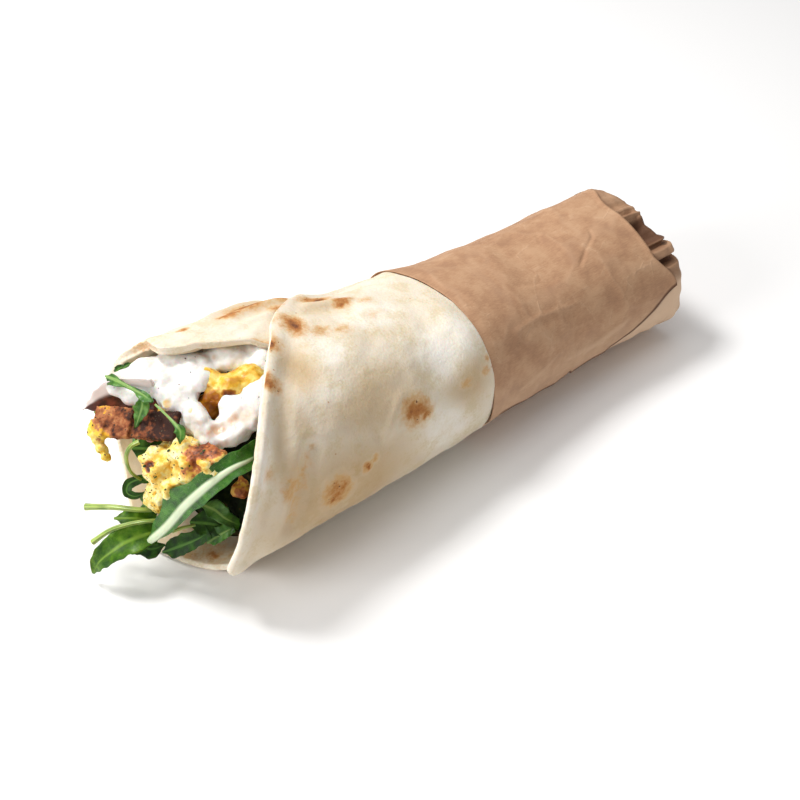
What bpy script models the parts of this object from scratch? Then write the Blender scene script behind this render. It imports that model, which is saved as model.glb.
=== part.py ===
"""Potato omelette wrap: a rolled flatbread in a kraft paper sleeve, its filling showing at the open end.

Metres, +Z up. The roll lies along X on its flat underside, with its open mouth towards -X, and the
origin is on the underside of the paper, just behind the paper's front edge. Sizes and places below
are in millimetres, angles in degrees, and every mesh is scaled to metres as it is made.
"""

import math

import bmesh
import bpy
from mathutils import Matrix, Vector, noise

MM = 0.001

# The roll that bread and paper share
MOUTH_WIDTH = 81.4
MOUTH_HEIGHT = 69.6
TAIL_WIDTH = 63.7
TAIL_HEIGHT = 50.0
MOUTH_X = -100.0
TAPER_END_X = 60.0
SIDE_LEAN = -4.0
SQUARENESS = 2.3
SAG = 2.5

# Flatbread: one disc, rolled a little more than once round
DISC_RADIUS = 163.0
DISC_TIP_X = -118.0
ARC_PER_DEGREE = 0.668
BREAD_THICKNESS = 2.2
LAYER_GAP = 0.8
INNER_EDGE_ANGLE = 108.0
OUTER_EDGE_ANGLE = -324.0
BREAD_REAR_X = 90.0
BREAD_COLUMNS = 54
RIM_FLARE = 1.3
FOLDED_RIM = 1.2
FOOT_NOTCH = 13.0
FOOT_NOTCH_ANGLE = 226.0
FAR_NOTCH = 5.0
FAR_NOTCH_ANGLE = -35.0
FAR_RIM_X = -106.0

# Kraft paper: an inner layer with a gathered end, and an outer one over its top and near side
PAPER_THICKNESS = 0.6
PAPER_STEP = 0.9
PAPER_DENT = 0.7
PAPER_TO_BREAD = 0.7
PAPER_FRONT_X = 3.6
PANEL_REAR_X = 93.0
PAPER_REAR_X = 107.0
PANEL_SHARE = 0.58
PAPER_COLUMNS = 48
PAPER_ROWS = 8
PLEATS = 13
PLEAT_DEPTH = 1.8
PLEAT_RISE = 0.72

# Filling
CORE_INSET = 8.2
CORE_REAR_X = 84.0
CORE_COLUMNS = 18
PIECE_GAP = 0.4
FACING_OUT = (-0.47, -0.6, 0.65)

# Finishes: sRGB colour and roughness
FINISHES = {
    "baked flatbread": ("E6DABF", 0.8),
    "kraft paper": ("B9917A", 0.85),
    "yogurt": ("F4EFE6", 0.35),
    "omelette": ("E9C65C", 0.6),
    "browned omelette": ("B0693C", 0.65),
    "rocket leaf": ("4C8A2E", 0.5),
    "rocket stalk": ("A9C47C", 0.45),
    "red petal": ("7C3A3E", 0.45),
    "packed filling": ("3B4A24", 0.7),
}


def smooth(start, end, value):
    """0 at start, 1 at end, with a soft S between them."""
    t = min(1.0, max(0.0, (value - start) / (end - start)))
    return t * t * (3.0 - 2.0 * t)


def bump(value, centre, reach):
    """1 at centre, falling softly to 0 at reach on either side."""
    return smooth(1.0, 0.0, abs(value - centre) / reach)


def turned(angle, centre):
    """The shortest turn from centre to angle."""
    return (angle - centre + 180.0) % 360.0 - 180.0


def roll_point(x, angle, grow=0.0):
    """A point on the roll. Angle 0 is its far side, 90 its top and 180 its near side."""
    open_share = smooth(TAPER_END_X, MOUTH_X, x)
    width = TAIL_WIDTH + (MOUTH_WIDTH - TAIL_WIDTH) * open_share
    height = TAIL_HEIGHT + (MOUTH_HEIGHT - TAIL_HEIGHT) * open_share
    lean = SIDE_LEAN * smooth(70.0, -30.0, x)
    a = math.radians(angle)
    side = math.copysign(abs(math.cos(a)) ** (2.0 / SQUARENESS), math.cos(a))
    rise = math.copysign(abs(math.sin(a)) ** (2.0 / SQUARENESS), math.sin(a))
    y = lean + (width / 2.0 + grow) * side
    z = (height - SAG) / 2.0 + ((height + SAG) / 2.0 + grow) * rise
    return Vector((x, y, max(z, -grow, 0.0)))


def above_foot(angle):
    """0 where the roll lies on its underside, 1 from its lower corners upwards."""
    return smooth(-0.9, -0.5, math.sin(math.radians(angle)))


def finish(name):
    """The material of that finish, made once."""
    made = bpy.data.materials.get(name)
    if made is None:
        made = bpy.data.materials.new(name)
        made.use_nodes = True
        hex_colour, roughness = FINISHES[name]
        parts = [int(hex_colour[k : k + 2], 16) / 255.0 for k in (0, 2, 4)]
        linear = [c / 12.92 if c <= 0.04045 else ((c + 0.055) / 1.055) ** 2.4 for c in parts]
        shader = made.node_tree.nodes["Principled BSDF"]
        shader.inputs["Base Color"].default_value = (*linear, 1.0)
        shader.inputs["Roughness"].default_value = roughness
    return made


def object_from(name, mesh, finish_name, sharp_above=55.0):
    """An object in the scene, from a finished bmesh in millimetres."""
    bmesh.ops.scale(mesh, vec=(MM, MM, MM), verts=mesh.verts)
    bmesh.ops.recalc_face_normals(mesh, faces=mesh.faces)
    data = bpy.data.meshes.new(name)
    mesh.to_mesh(data)
    mesh.free()
    data.shade_smooth()
    data.set_sharp_from_angle(angle=math.radians(sharp_above))
    data.materials.append(finish(finish_name))
    made = bpy.data.objects.new(name, data)
    bpy.context.scene.collection.objects.link(made)
    return made


def quads(mesh, first, second):
    """Joins two rows of vertices, as long as each other, with a strip of faces."""
    for k in range(len(first) - 1):
        mesh.faces.new((first[k], first[k + 1], second[k + 1], second[k]))


def closed_ring(mesh, first, second):
    """Joins two closed rings of vertices with a strip of faces."""
    quads(mesh, first + first[:1], second + second[:1])


def cap(mesh, ring):
    """Closes a ring of vertices with triangles about its middle."""
    hub = mesh.verts.new(sum((v.co for v in ring), Vector()) / len(ring))
    for k in range(len(ring)):
        mesh.faces.new((ring[k], ring[(k + 1) % len(ring)], hub))


# Folds and dents of the bread: place along the roll, angle round it, reach along, reach round, height
BREAD_RELIEF = (
    (-4.0, 133.0, 15.0, 66.0, 1.9),
    (-21.0, 150.0, 14.0, 46.0, -1.3),
    (-84.0, 160.0, 9.0, 40.0, -1.0),
    (-42.0, 140.0, 24.0, 40.0, -0.8),
    (-58.0, 92.0, 14.0, 24.0, 0.7),
    (-66.0, 112.0, 14.0, 34.0, -1.0),
    (-60.0, 50.0, 34.0, 34.0, 1.6),
    (-86.0, 60.0, 24.0, 32.0, 2.0),
    (-24.0, 50.0, 34.0, 48.0, -2.4),
)


def bread_front(angle):
    """Where the disc's edge comes to along the roll: round, but drawn in at the near lower corner."""
    arc = min(DISC_RADIUS - 1.0, ARC_PER_DEGREE * abs(angle + 90.0))
    round_edge = DISC_TIP_X + DISC_RADIUS - math.sqrt(DISC_RADIUS**2 - arc**2)
    if angle > 0.0:
        far_rim = FAR_RIM_X + 8.0 * smooth(15.0, 58.0, angle) + 40.0 * smooth(70.0, 102.0, angle)
        round_edge = min(round_edge, far_rim)
    from_corner = turned(angle, FOOT_NOTCH_ANGLE)
    reach = 56.0 if from_corner > 0.0 else 30.0
    far_notch = FAR_NOTCH * bump(turned(angle, FAR_NOTCH_ANGLE), 0.0, 55.0)
    return round_edge + FOOT_NOTCH * bump(from_corner, 0.0, reach) + far_notch


def bread_relief(x, angle):
    """How far the bread's own folds lift it off the plain roll."""
    lift = 0.0
    for place, turn, reach_along, reach_round, height in BREAD_RELIEF:
        lift += height * bump(x, place, reach_along) * bump(turned(angle, turn), 0.0, reach_round)
    return lift


def paper_front(angle):
    """The sleeve's front edge, which runs a little forward over the far side and underneath."""
    far_side = smooth(115.0, 62.0, abs(turned(angle, -5.0)))
    underneath = bump(turned(angle, 270.0), 0.0, 75.0)
    return PAPER_FRONT_X - 8.0 * far_side - 6.0 * underneath


def bread_point(x, angle, inner):
    """A point of the rolled sheet; its first end lies under its last one and its rear is in the paper."""
    front = bread_front(angle)
    sleeve = paper_front(angle)
    under = smooth(-25.0, 42.0, angle) * (BREAD_THICKNESS + LAYER_GAP)
    tucked = smooth(sleeve - 5.5, sleeve - 1.5, x)
    tuck = tucked * (PAPER_THICKNESS + PAPER_TO_BREAD + PAPER_DENT)
    flare = RIM_FLARE * smooth(front + 9.0, front, x)
    grow = (bread_relief(x, angle) + flare) * above_foot(angle) * (1.0 - tucked) - under - tuck
    if inner:
        doubled = FOLDED_RIM * bump(angle, 52.0, 40.0) * smooth(front + 13.0, front + 7.0, x)
        grow -= BREAD_THICKNESS + doubled
    return roll_point(x, angle, grow)


def bread_rows(angle):
    """Places along the bread from its front edge, close together at the mouth and at the paper."""
    front = bread_front(angle)
    edge = max(front + 8.0, paper_front(angle) - 6.0)
    at_mouth = [front + (edge - front) * s for s in (0.0, 0.09, 0.19, 0.3, 0.42, 0.56, 0.7, 0.85, 1.0)]
    at_paper = [edge + step for step in (2.3, 4.6, 7.0)]
    return at_mouth + at_paper + [edge + 7.0 + (BREAD_REAR_X - edge - 7.0) * s for s in (0.5, 1.0)]


def make_flatbread():
    """The rolled disc of bread, one sheet with its near flap lying over the far one."""
    step = (OUTER_EDGE_ANGLE - INNER_EDGE_ANGLE) / BREAD_COLUMNS
    angles = [INNER_EDGE_ANGLE + step * k for k in range(BREAD_COLUMNS + 1)]
    mesh = bmesh.new()
    places = list(zip(*[bread_rows(a) for a in angles]))
    tops = [[mesh.verts.new(bread_point(x, a, False)) for x, a in zip(row, angles)] for row in places]
    backs = [[mesh.verts.new(bread_point(x, a, True)) for x, a in zip(row, angles)] for row in places]
    nose = []
    for top, back in zip(tops[0], backs[0]):
        nose.append(mesh.verts.new((top.co + back.co) / 2.0 - Vector((0.9, 0.0, 0.0))))
    for k in range(len(tops) - 1):
        quads(mesh, tops[k], tops[k + 1])
        quads(mesh, backs[k + 1], backs[k])
    quads(mesh, nose, tops[0])
    quads(mesh, backs[0], nose)
    quads(mesh, tops[-1], backs[-1])
    for end in (0, -1):
        quads(mesh, [row[end] for row in tops], [row[end] for row in backs])
        mesh.faces.new((nose[end], tops[0][end], backs[0][end]))
    return object_from("flatbread", mesh, "baked flatbread")


def panel_edge_angle(x):
    """The angle of the outer layer's free edge, low on the near side and rising at the rear."""
    low = 200.0 + 7.0 * bump(x, 40.0, 30.0) + 5.0 * bump(x, 84.0, 26.0)
    return low - 32.0 * smooth(54.0, 106.0, x)


def panel_rear(angle):
    """Where the outer layer ends towards the gathered end, curving back at both corners."""
    return PANEL_REAR_X + 8.0 * smooth(22.0, 55.0, abs(turned(angle, 115.0)))


def pleat(angle):
    """0 to 1 across each pleat of the gathered end: a slow rise and a sharp fall."""
    share = (angle / 360.0 * PLEATS) % 1.0
    return share / PLEAT_RISE if share < PLEAT_RISE else (1.0 - share) / (1.0 - PLEAT_RISE)


def paper_dent(x, angle):
    """Soft dents across the sleeve, none where it lies on its underside."""
    a = math.radians(angle)
    where = Vector((x / 22.0, 1.4 * math.cos(a), 1.4 * math.sin(a)))
    return PAPER_DENT * noise.noise(where) * above_foot(angle)


def paper_ring(share, outer):
    """One ring of the sleeve, share 0 at its front edge and 1 at the outer layer's rear edge."""
    first = panel_edge_angle(PAPER_FRONT_X + (PANEL_REAR_X - PAPER_FRONT_X) * share)
    ring = []
    for k in range(PAPER_COLUMNS):
        u = k / (PAPER_COLUMNS - 1)
        angle = first - 360.0 * u
        x = paper_front(angle) + (panel_rear(angle) - paper_front(angle)) * share
        layer = PAPER_STEP * smooth(PANEL_SHARE, PANEL_SHARE - 0.06, u)
        grow = paper_dent(x, angle) + (layer if outer else -PAPER_THICKNESS)
        ring.append(roll_point(x, angle, grow))
    return ring


def gathered_ring(closing, depth):
    """One ring of the gathered end, from the sleeve at closing 0 to the middle of the end at 1."""
    first = panel_edge_angle(PANEL_REAR_X)
    middle = Vector((0.0, 0.0, TAIL_HEIGHT * 0.44))
    ring = []
    for k in range(PAPER_COLUMNS):
        angle = first - 360.0 * k / (PAPER_COLUMNS - 1)
        start = panel_rear(angle) + 1.2
        over = math.sin(min(1.0, closing / 0.55) * math.pi / 2.0)
        x = start + (PAPER_REAR_X - start) * over - 6.0 * smooth(0.55, 1.0, closing)
        edge = roll_point(x, angle)
        folded = PLEAT_DEPTH * (pleat(angle + 30.0 * closing) - 0.6) * bump(closing, 0.42, 0.42)
        away = Vector((0.0, edge.y - middle.y, edge.z - middle.z))
        away *= 1.0 - 0.98 * closing**1.8 + (folded - depth) / away.length
        spot = middle + away
        spot.x = x + 0.7 * folded - depth * smooth(0.1, 0.5, closing)
        spot.z = max(spot.z, depth)
        ring.append(spot)
    return ring


def make_paper():
    """The sleeve as one wall: its outside from mouth to gathered end, and its inside back again."""
    shares = [k / PAPER_ROWS for k in range(PAPER_ROWS + 1)]
    closings = (0.08, 0.22, 0.36, 0.5, 0.66, 0.84)
    outside = [paper_ring(s, True) for s in shares] + [gathered_ring(c, 0.0) for c in closings]
    inside = [gathered_ring(c, PAPER_THICKNESS) for c in closings[::-1]]
    inside += [paper_ring(s, False) for s in shares[::-1]]
    mesh = bmesh.new()
    rings = [[mesh.verts.new(p) for p in ring] for ring in outside + inside]
    last_out = len(outside) - 1
    for k in range(len(rings) - 1):
        if k != last_out:
            closed_ring(mesh, rings[k], rings[k + 1])
    closed_ring(mesh, rings[-1], rings[0])
    cap(mesh, rings[last_out])
    cap(mesh, rings[last_out + 1])
    return object_from("paper_sleeve", mesh, "kraft paper")


def through(route, share):
    """A point and a direction on a smooth curve through the route's points."""
    points = [Vector(p) for p in route]
    points = [points[0] * 2.0 - points[1]] + points + [points[-1] * 2.0 - points[-2]]
    place = share * (len(route) - 1)
    k = min(int(place), len(route) - 2)
    t = place - k
    a, b, c, d = points[k : k + 4]
    bend = 2 * a - 5 * b + 4 * c - d
    twist = 3 * b - a - 3 * c + d
    spot = 0.5 * (2 * b + (c - a) * t + bend * t**2 + twist * t**3)
    way = (c - a) + bend * 2 * t + twist * 3 * t**2
    return spot, way.normalized()


# A blade's cross-section: where its points lie between the middle and either edge
ACROSS = (-1.0, -0.55, 0.0, 0.55, 1.0)


def blade_ring(spot, way, face, half, rib, thickness, cup, ripple):
    """One ring round a blade: round while it is only a stalk, and thin with a ridge once it is wide."""
    side = way.cross(Vector(face)).normalized()
    up = side.cross(way)
    flat = smooth(rib, rib * 2.5, half)
    top, under = [], []
    for a in ACROSS:
        round_rise = rib * math.sqrt(1.0 - a * a)
        flat_rise = thickness / 2.0 * (1.0 - 0.75 * a * a) + (0.5 * rib if a == 0.0 else 0.0)
        high = round_rise * (1.0 - flat) + flat_rise * flat
        middle = spot + side * (a * half) + up * ((cup * half + ripple * a) * a * a * flat)
        top.append(middle + up * high)
        if abs(a) < 1.0:
            under.append(middle - up * high)
    return top + under[::-1]


def make_blade(
    name, route, half_width=0.0, face=FACING_OUT, rib=0.8, thickness=0.8, lobes=0, cup=0.2, stations=9,
    finish_name="rocket leaf",
):
    """A leaf, a stalk or a curved slice: a thin solid along a route, with its rib as a round ridge.

    half_width is the blade's, 0 for a stalk. lobes is the number of lobes on each side, and cup how
    far the edges rise, as a share of half_width.
    """
    mesh = bmesh.new()
    rings = []
    for k in range(stations):
        share = k / (stations - 1)
        spot, way = through(route, share)
        notch = 1.0 - 0.5 * math.cos(math.pi * lobes * share) ** 2 if lobes else 1.0
        wide = half_width * math.sin(math.pi * min(0.985, share**0.75)) ** 0.7 * notch
        slim = rib * (0.55 + 0.45 * smooth(1.0, 0.6, share))
        ripple = 0.4 * math.sin(9.0 * share)
        ring = blade_ring(spot, way, face, max(wide, slim), slim, thickness, cup, ripple)
        rings.append([mesh.verts.new(p) for p in ring])
    for first, second in zip(rings[:-1], rings[1:]):
        closed_ring(mesh, first, second)
    cap(mesh, rings[0])
    cap(mesh, rings[-1])
    return object_from(name, mesh, finish_name)


def spread(places):
    """The diagonal of the box round some places."""
    return Vector([max(p[k] for p in places) - min(p[k] for p in places) for k in range(3)]).length


def largest_part(data):
    """Deletes every loose part of a mesh but the one that spreads furthest."""
    mesh = bmesh.new()
    mesh.from_mesh(data)
    left = set(mesh.verts)
    parts = []
    while left:
        part, growing = set(), [left.pop()]
        while growing:
            vert = growing.pop()
            part.add(vert)
            near = {edge.other_vert(vert) for edge in vert.link_edges} & left
            left -= near
            growing += near
        parts.append(part)
    parts.sort(key=lambda part: spread([vert.co for vert in part]))
    scraps = [vert for part in parts[:-1] for vert in part]
    bmesh.ops.delete(mesh, geom=scraps, context="VERTS")
    mesh.to_mesh(data)
    mesh.free()


def settled(piece):
    """Turns what a piece's modifiers give into its own mesh, without loose scraps."""
    graph = bpy.context.evaluated_depsgraph_get()
    data = bpy.data.meshes.new_from_object(piece.evaluated_get(graph))
    piece.modifiers.clear()
    largest_part(data)
    piece.data = data
    return piece


def make_lumpy(
    name, lumps, triangles, skin=0.5, grain=5.0, along=(1, 0, 0), face=(0, 0, 1), finish_name="omelette",
):
    """One uneven mass, melted together from ellipsoids given as a centre and three half sizes.

    The half sizes run along, across and out of the face. skin is the height of its uneven surface and
    grain that surface's size, and triangles is how many it keeps.
    """
    x_way = Vector(along).normalized()
    y_way = Vector(face).cross(x_way).normalized()
    turn = Matrix((x_way, y_way, x_way.cross(y_way))).transposed().to_4x4()
    mesh = bmesh.new()
    for centre, half_sizes in lumps:
        place = Matrix.Translation(centre) @ turn @ Matrix.Diagonal((*half_sizes, 1.0))
        bmesh.ops.create_icosphere(mesh, subdivisions=3, radius=1.0, matrix=place)
    mass = object_from(name, mesh, finish_name)
    melt = mass.modifiers.new("Melted together", "REMESH")
    melt.mode = "VOXEL"
    melt.voxel_size = 1.1 * MM
    settled(mass)
    mesh = bmesh.new()
    mesh.from_mesh(mass.data)
    for _ in range(4):
        bmesh.ops.smooth_vert(
            mesh, verts=mesh.verts, factor=0.5, use_axis_x=True, use_axis_y=True, use_axis_z=True
        )
    mesh.normal_update()
    for vert in mesh.verts:
        place = vert.co / (grain * MM)
        vert.co += vert.normal * skin * MM * (noise.noise(place) + 0.5 * noise.noise(place * 2.2))
    count = sum(len(f.verts) - 2 for f in mesh.faces)
    mesh.to_mesh(mass.data)
    mesh.free()
    thin = mass.modifiers.new("Fewer faces", "DECIMATE")
    thin.ratio = min(1.0, triangles / count)
    return settled(mass)


def swollen(piece, gap, detail):
    """A hidden copy of a piece, grown by gap on every side, with that share of its faces."""
    grown = bpy.data.objects.new("clearance round " + piece.name, piece.data.copy())
    mesh = bmesh.new()
    mesh.from_mesh(piece.data)
    mesh.normal_update()
    moves = [v.normal * gap * MM for v in mesh.verts]
    for vert, move in zip(mesh.verts, moves):
        vert.co += move
    mesh.to_mesh(grown.data)
    mesh.free()
    grown.hide_render = True
    grown.display_type = "WIRE"
    bpy.context.scene.collection.objects.link(grown)
    if detail < 1.0:
        grown.modifiers.new("Fewer faces", "DECIMATE").ratio = detail
    return grown


def boxes_meet(first, second):
    """Whether the boxes round two pieces come within two gaps of each other."""
    spans = []
    for piece in (first, second):
        places = [v.co for v in piece.data.vertices]
        spans.append([(min(p[k] for p in places), max(p[k] for p in places)) for k in range(3)])
    gap = 2.0 * PIECE_GAP * MM
    return all(a[0] < b[1] + gap and b[0] < a[1] + gap for a, b in zip(*spans))


def keep_clear(piece, neighbours, gap=PIECE_GAP, detail=1.0):
    """Cuts a piece back from each neighbour that it would touch, leaving a gap."""
    cutters = [swollen(other, gap, detail) for other in neighbours if boxes_meet(piece, other)]
    for cutter in cutters:
        cut = piece.modifiers.new("Clear of neighbour", "BOOLEAN")
        cut.operation = "DIFFERENCE"
        cut.solver = "EXACT"
        cut.object = cutter
    if cutters:
        settled(piece)
    for cutter in cutters:
        bpy.data.objects.remove(cutter, do_unlink=True)
    return piece


# Rocket stalks: the points that each runs through, and its radius
STALKS = {
    "rocket_stalk_left": (((-134, 7, 22.5), (-128, -1, 25), (-121, -8, 25), (-112, -9, 21)), 1.1),
    "rocket_stalk_low": (
        ((-137, -1, 14.5), (-132, -4.5, 19.5), (-127, -9, 23), (-121, -13, 24), (-114, -16, 22)), 0.95,
    ),
    "rocket_stalk_scrap": (((-117, -19, 21.5), (-113.5, -20.5, 22.3), (-110, -22, 22.4)), 0.7),
    "rocket_stalk_loop": (
        (
            (-117, -5, 50.5), (-120, -4.5, 49.6), (-121.5, -3.5, 45), (-120.4, -2.3, 37.5),
            (-117, -1.5, 31),
        ),
        0.75,
    ),
    "rocket_stalk_far": (((-100, 26, 45), (-106, 20, 38), (-108, 12, 31)), 1.0),
}

# Rocket leaves: the points that each midrib runs through, and what else sets its shape
LEAVES = {
    "rocket_leaf_broad": dict(
        route=(
            (-124.1, -12.8, 14.5), (-119, -20, 25.8), (-114.9, -26, 37), (-110.7, -30, 44.1),
            (-106.4, -32.5, 48.6), (-100.3, -33.5, 50.8), (-94.6, -33, 50.1), (-87.6, -30, 47.2),
        ),
        half_width=4.4, rib=1.4, cup=0.22, stations=12,
    ),
    "rocket_leaf_drooping": dict(
        route=(
            (-118, -13, 17), (-123, -12.5, 18.5), (-129, -10.5, 17.5), (-134, -8.5, 14.5),
            (-138, -6, 10), (-140, -3.5, 3.5),
        ),
        half_width=4.6, rib=0.7, face=(-0.5, -0.4, 0.75),
    ),
    "rocket_leaf_left": dict(
        route=((-128, 0, 19), (-123, -5, 20), (-117, -8, 18)), half_width=3.4, rib=0.6, stations=7,
    ),
    "rocket_leaf_low_left": dict(
        route=((-127, -6, 14), (-124, -8, 10.4), (-121.4, -10.5, 8.8), (-117.6, -13, 10.4)),
        half_width=3.6, rib=0.6, stations=8,
    ),
    "rocket_leaf_low_middle": dict(
        route=((-118.6, -12.5, 7.2), (-114.8, -16.5, 10.5), (-110.4, -19.6, 13.2), (-106.4, -21.8, 15.6)),
        half_width=3.0, rib=0.6, stations=7,
    ),
    "rocket_leaf_low_right": dict(
        route=((-106.6, -21.5, 11.2), (-102.8, -24, 14.7), (-98.4, -26, 17.3)),
        half_width=2.4, rib=0.6, stations=7,
    ),
    "rocket_leaf_inner": dict(
        route=((-105.4, -20, 27.1), (-102.4, -22, 24.5), (-100.2, -24, 21), (-96.1, -26, 16.7)),
        half_width=2.9, rib=0.6, stations=7,
    ),
    "rocket_leaf_inner_dark": dict(
        route=((-109.9, -18, 20.4), (-103.6, -21, 17.9), (-97.2, -25, 14.3)),
        half_width=4.2, rib=0.6, stations=7,
    ),
    "rocket_leaf_curl": dict(
        route=(
            (-113.9, -4.7, 30.6), (-116.4, -1.7, 31.5), (-120.6, 0.1, 30.3), (-122.3, -0.9, 28.1),
            (-120.7, -3.2, 27.2), (-117.5, -4.7, 28.1),
        ),
        half_width=1.2, rib=0.5,
    ),
    "rocket_leaf_under_slab": dict(
        route=((-119, -3, 47.5), (-114, -5, 46), (-108, -7, 45.5)), half_width=3.6, rib=0.6, stations=7,
    ),
    "rocket_leaf_upper": dict(
        route=(
            (-114, 19, 60), (-113.2, 13.5, 61.6), (-111.7, 7.2, 62), (-110.2, 1.7, 62),
            (-109.2, -2.8, 61.4),
        ),
        half_width=1.5, rib=0.8, lobes=2,
    ),
    "rocket_leaf_upper_tip": dict(
        route=(
            (-109, -4, 61), (-108.6, -8, 60.5), (-108.3, -14.8, 60), (-108.2, -17.2, 58.5),
            (-109.7, -18.8, 55.5),
        ),
        half_width=1.4, rib=0.7, stations=8,
    ),
    "rocket_leaf_upper_lobe": dict(
        route=((-111.6, 0.4, 58.4), (-113.4, 0.4, 54.6), (-115.4, 0.2, 51)),
        half_width=1.9, rib=0.5, stations=6,
    ),
    "rocket_bit_far_left": dict(
        route=((-109.6, 21.8, 57), (-108, 21.5, 58.4), (-105.8, 20.9, 59)),
        half_width=1.3, rib=0.5, stations=5,
    ),
    "rocket_bit_far_right": dict(
        route=((-107, 20.8, 58.4), (-105.6, 20.2, 59.4), (-104.2, 19.6, 60)),
        half_width=1.0, rib=0.5, stations=5,
    ),
    "rocket_bit_behind_slab": dict(
        route=((-119.4, 20.9, 46), (-117.5, 18.8, 48), (-115.2, 18, 49)),
        half_width=2.0, rib=0.5, stations=5,
    ),
    "rocket_leaf_far_high": dict(
        route=((-98, 30, 43), (-103, 28, 35), (-106, 23, 25), (-107, 16, 15)),
        half_width=4.4, rib=0.7, face=(-0.9, 0.3, 0.3),
    ),
    "rocket_leaf_far_low": dict(
        route=((-99, 22, 7), (-106, 16, 7.5), (-112, 9, 8.5), (-116, 3, 9)),
        half_width=3.8, rib=0.7, face=(-0.6, 0.1, 0.8),
    ),
}

# Lumps of the omelette pieces and of the sauce: centre, then half sizes
CHUNK_LUMPS = (
    ((-112.5, -11, 42), (7, 7.5, 7)),
    ((-112, -16, 36.5), (6.5, 8, 7.5)),
    ((-114, -9.5, 29), (5.5, 5.5, 6)),
    ((-107.5, -21.5, 46), (6.5, 7.5, 6)),
    ((-103.5, -27, 50), (4.8, 5.5, 4.5)),
    ((-107.5, -17.5, 50), (5, 6, 4.3)),
    ((-103, -12, 41), (9, 9, 8)),
)
SLAB_LUMPS = (
    ((-112.8, 0.4, 51.2), (13.5, 5.6, 2.0)),
    ((-119, 7.8, 50.6), (7.5, 5.4, 2.2)),
    ((-124.2, 9.4, 48.2), (3.0, 3.2, 2.8)),
    ((-125.0, 6.6, 44.6), (2.3, 2.5, 3.0)),
    ((-125.2, 4.0, 42.0), (2.0, 2.1, 2.8)),
)
CURL_LUMPS = (
    ((-78.5, -10.5, 60.5), (6, 6, 4)),
    ((-84, -9.5, 60), (5.5, 5, 4)),
    ((-90.5, -8.5, 57), (4.5, 3.6, 3.2)),
    ((-92.5, -5.5, 51.5), (5, 5, 4.5)),
    ((-85, -7, 52), (6, 5, 4)),
)
SCRAP_LUMPS = (
    ((-92.5, -23, 28.5), (3.6, 3.4, 3.2)),
    ((-89, -22, 31), (3.4, 3.4, 3.4)),
)
FAR_LUMPS = (
    ((-100, 17, 33), (6.5, 8, 8)),
    ((-102, 8, 22), (7, 9, 9)),
    ((-99, 23, 20), (6, 7, 8)),
)
SAUCE_LUMPS = (
    ((-111.5, 16.5, 56.8), (4.5, 5.5, 3)),
    ((-107, 13, 56.2), (7, 8, 4.5)),
    ((-98, 8, 57.6), (8, 8.4, 5)),
    ((-101.5, 14.5, 58.6), (6, 6, 4.4)),
    ((-93, 12, 60), (7, 6, 4.4)),
    ((-99, 0, 56.5), (6.5, 7.0, 4.8)),
    ((-89.5, 5.5, 59.4), (9, 8, 5)),
    ((-91.5, 14.5, 52.8), (9, 7, 4.8)),
    ((-82, 12, 57.6), (8.6, 7, 4.6)),
    ((-74, 12, 59), (9, 7, 4.4)),
    ((-87, 3.5, 57.5), (8, 5, 4.6)),
    ((-78, 3, 60), (8, 8, 5)),
    ((-70, -6, 59.5), (7, 8, 5)),
    ((-98.6, -9, 53.5), (4.4, 7.5, 6)),
    ((-98, -16.5, 50.5), (5.0, 6, 4.8)),
    ((-92, -20, 52), (7, 6.5, 4.8)),
    ((-85, -20, 56), (7, 7.0, 4.8)),
    ((-78, -18, 59), (7, 7, 4.5)),
    ((-88, -14.5, 56.5), (5, 4, 3.6)),
)


def core_front(angle):
    """Where the packed filling ends behind the pieces that show, by its angle in the roll."""
    a = math.radians(angle)
    top, foot = smooth(0.1, 1.0, math.sin(a)), smooth(0.0, -1.0, math.sin(a))
    return -92.5 + 11.5 * top - 7.5 * foot - 3.5 * math.cos(a)


def make_core():
    """The packed filling that runs through the roll, uneven and bulging at its open end."""
    mesh = bmesh.new()
    angles = [360.0 * k / CORE_COLUMNS for k in range(CORE_COLUMNS)]
    rings = []
    for inward in (0.35, 0.7):
        ring = []
        for angle in angles:
            edge = roll_point(core_front(angle), angle, -CORE_INSET)
            axis = Vector((core_front(angle), SIDE_LEAN, MOUTH_HEIGHT * 0.44))
            lump = 2.5 * noise.noise(Vector((inward * 6.0, angle / 40.0, 1.0)))
            sunk = Vector((lump - 3.0 * (1.0 - inward), 0.0, 0.0))
            ring.append(mesh.verts.new(axis.lerp(edge, inward) + sunk))
        rings.append(ring)
    for share in (0.0, 0.14, 0.29, 0.43, 0.57, 0.74, 1.0):
        ring = []
        for angle in angles:
            x = core_front(angle) + (CORE_REAR_X - core_front(angle)) * share
            rough = 1.2 * abs(noise.noise(Vector((share * 7.0, angle / 60.0, 2.0))))
            ring.append(mesh.verts.new(roll_point(x, angle, -CORE_INSET - rough)))
        rings.append(ring)
    for first, second in zip(rings[:-1], rings[1:]):
        closed_ring(mesh, first, second)
    cap(mesh, rings[0])
    cap(mesh, rings[-1])
    return object_from("filling_core", mesh, "packed filling")


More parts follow.
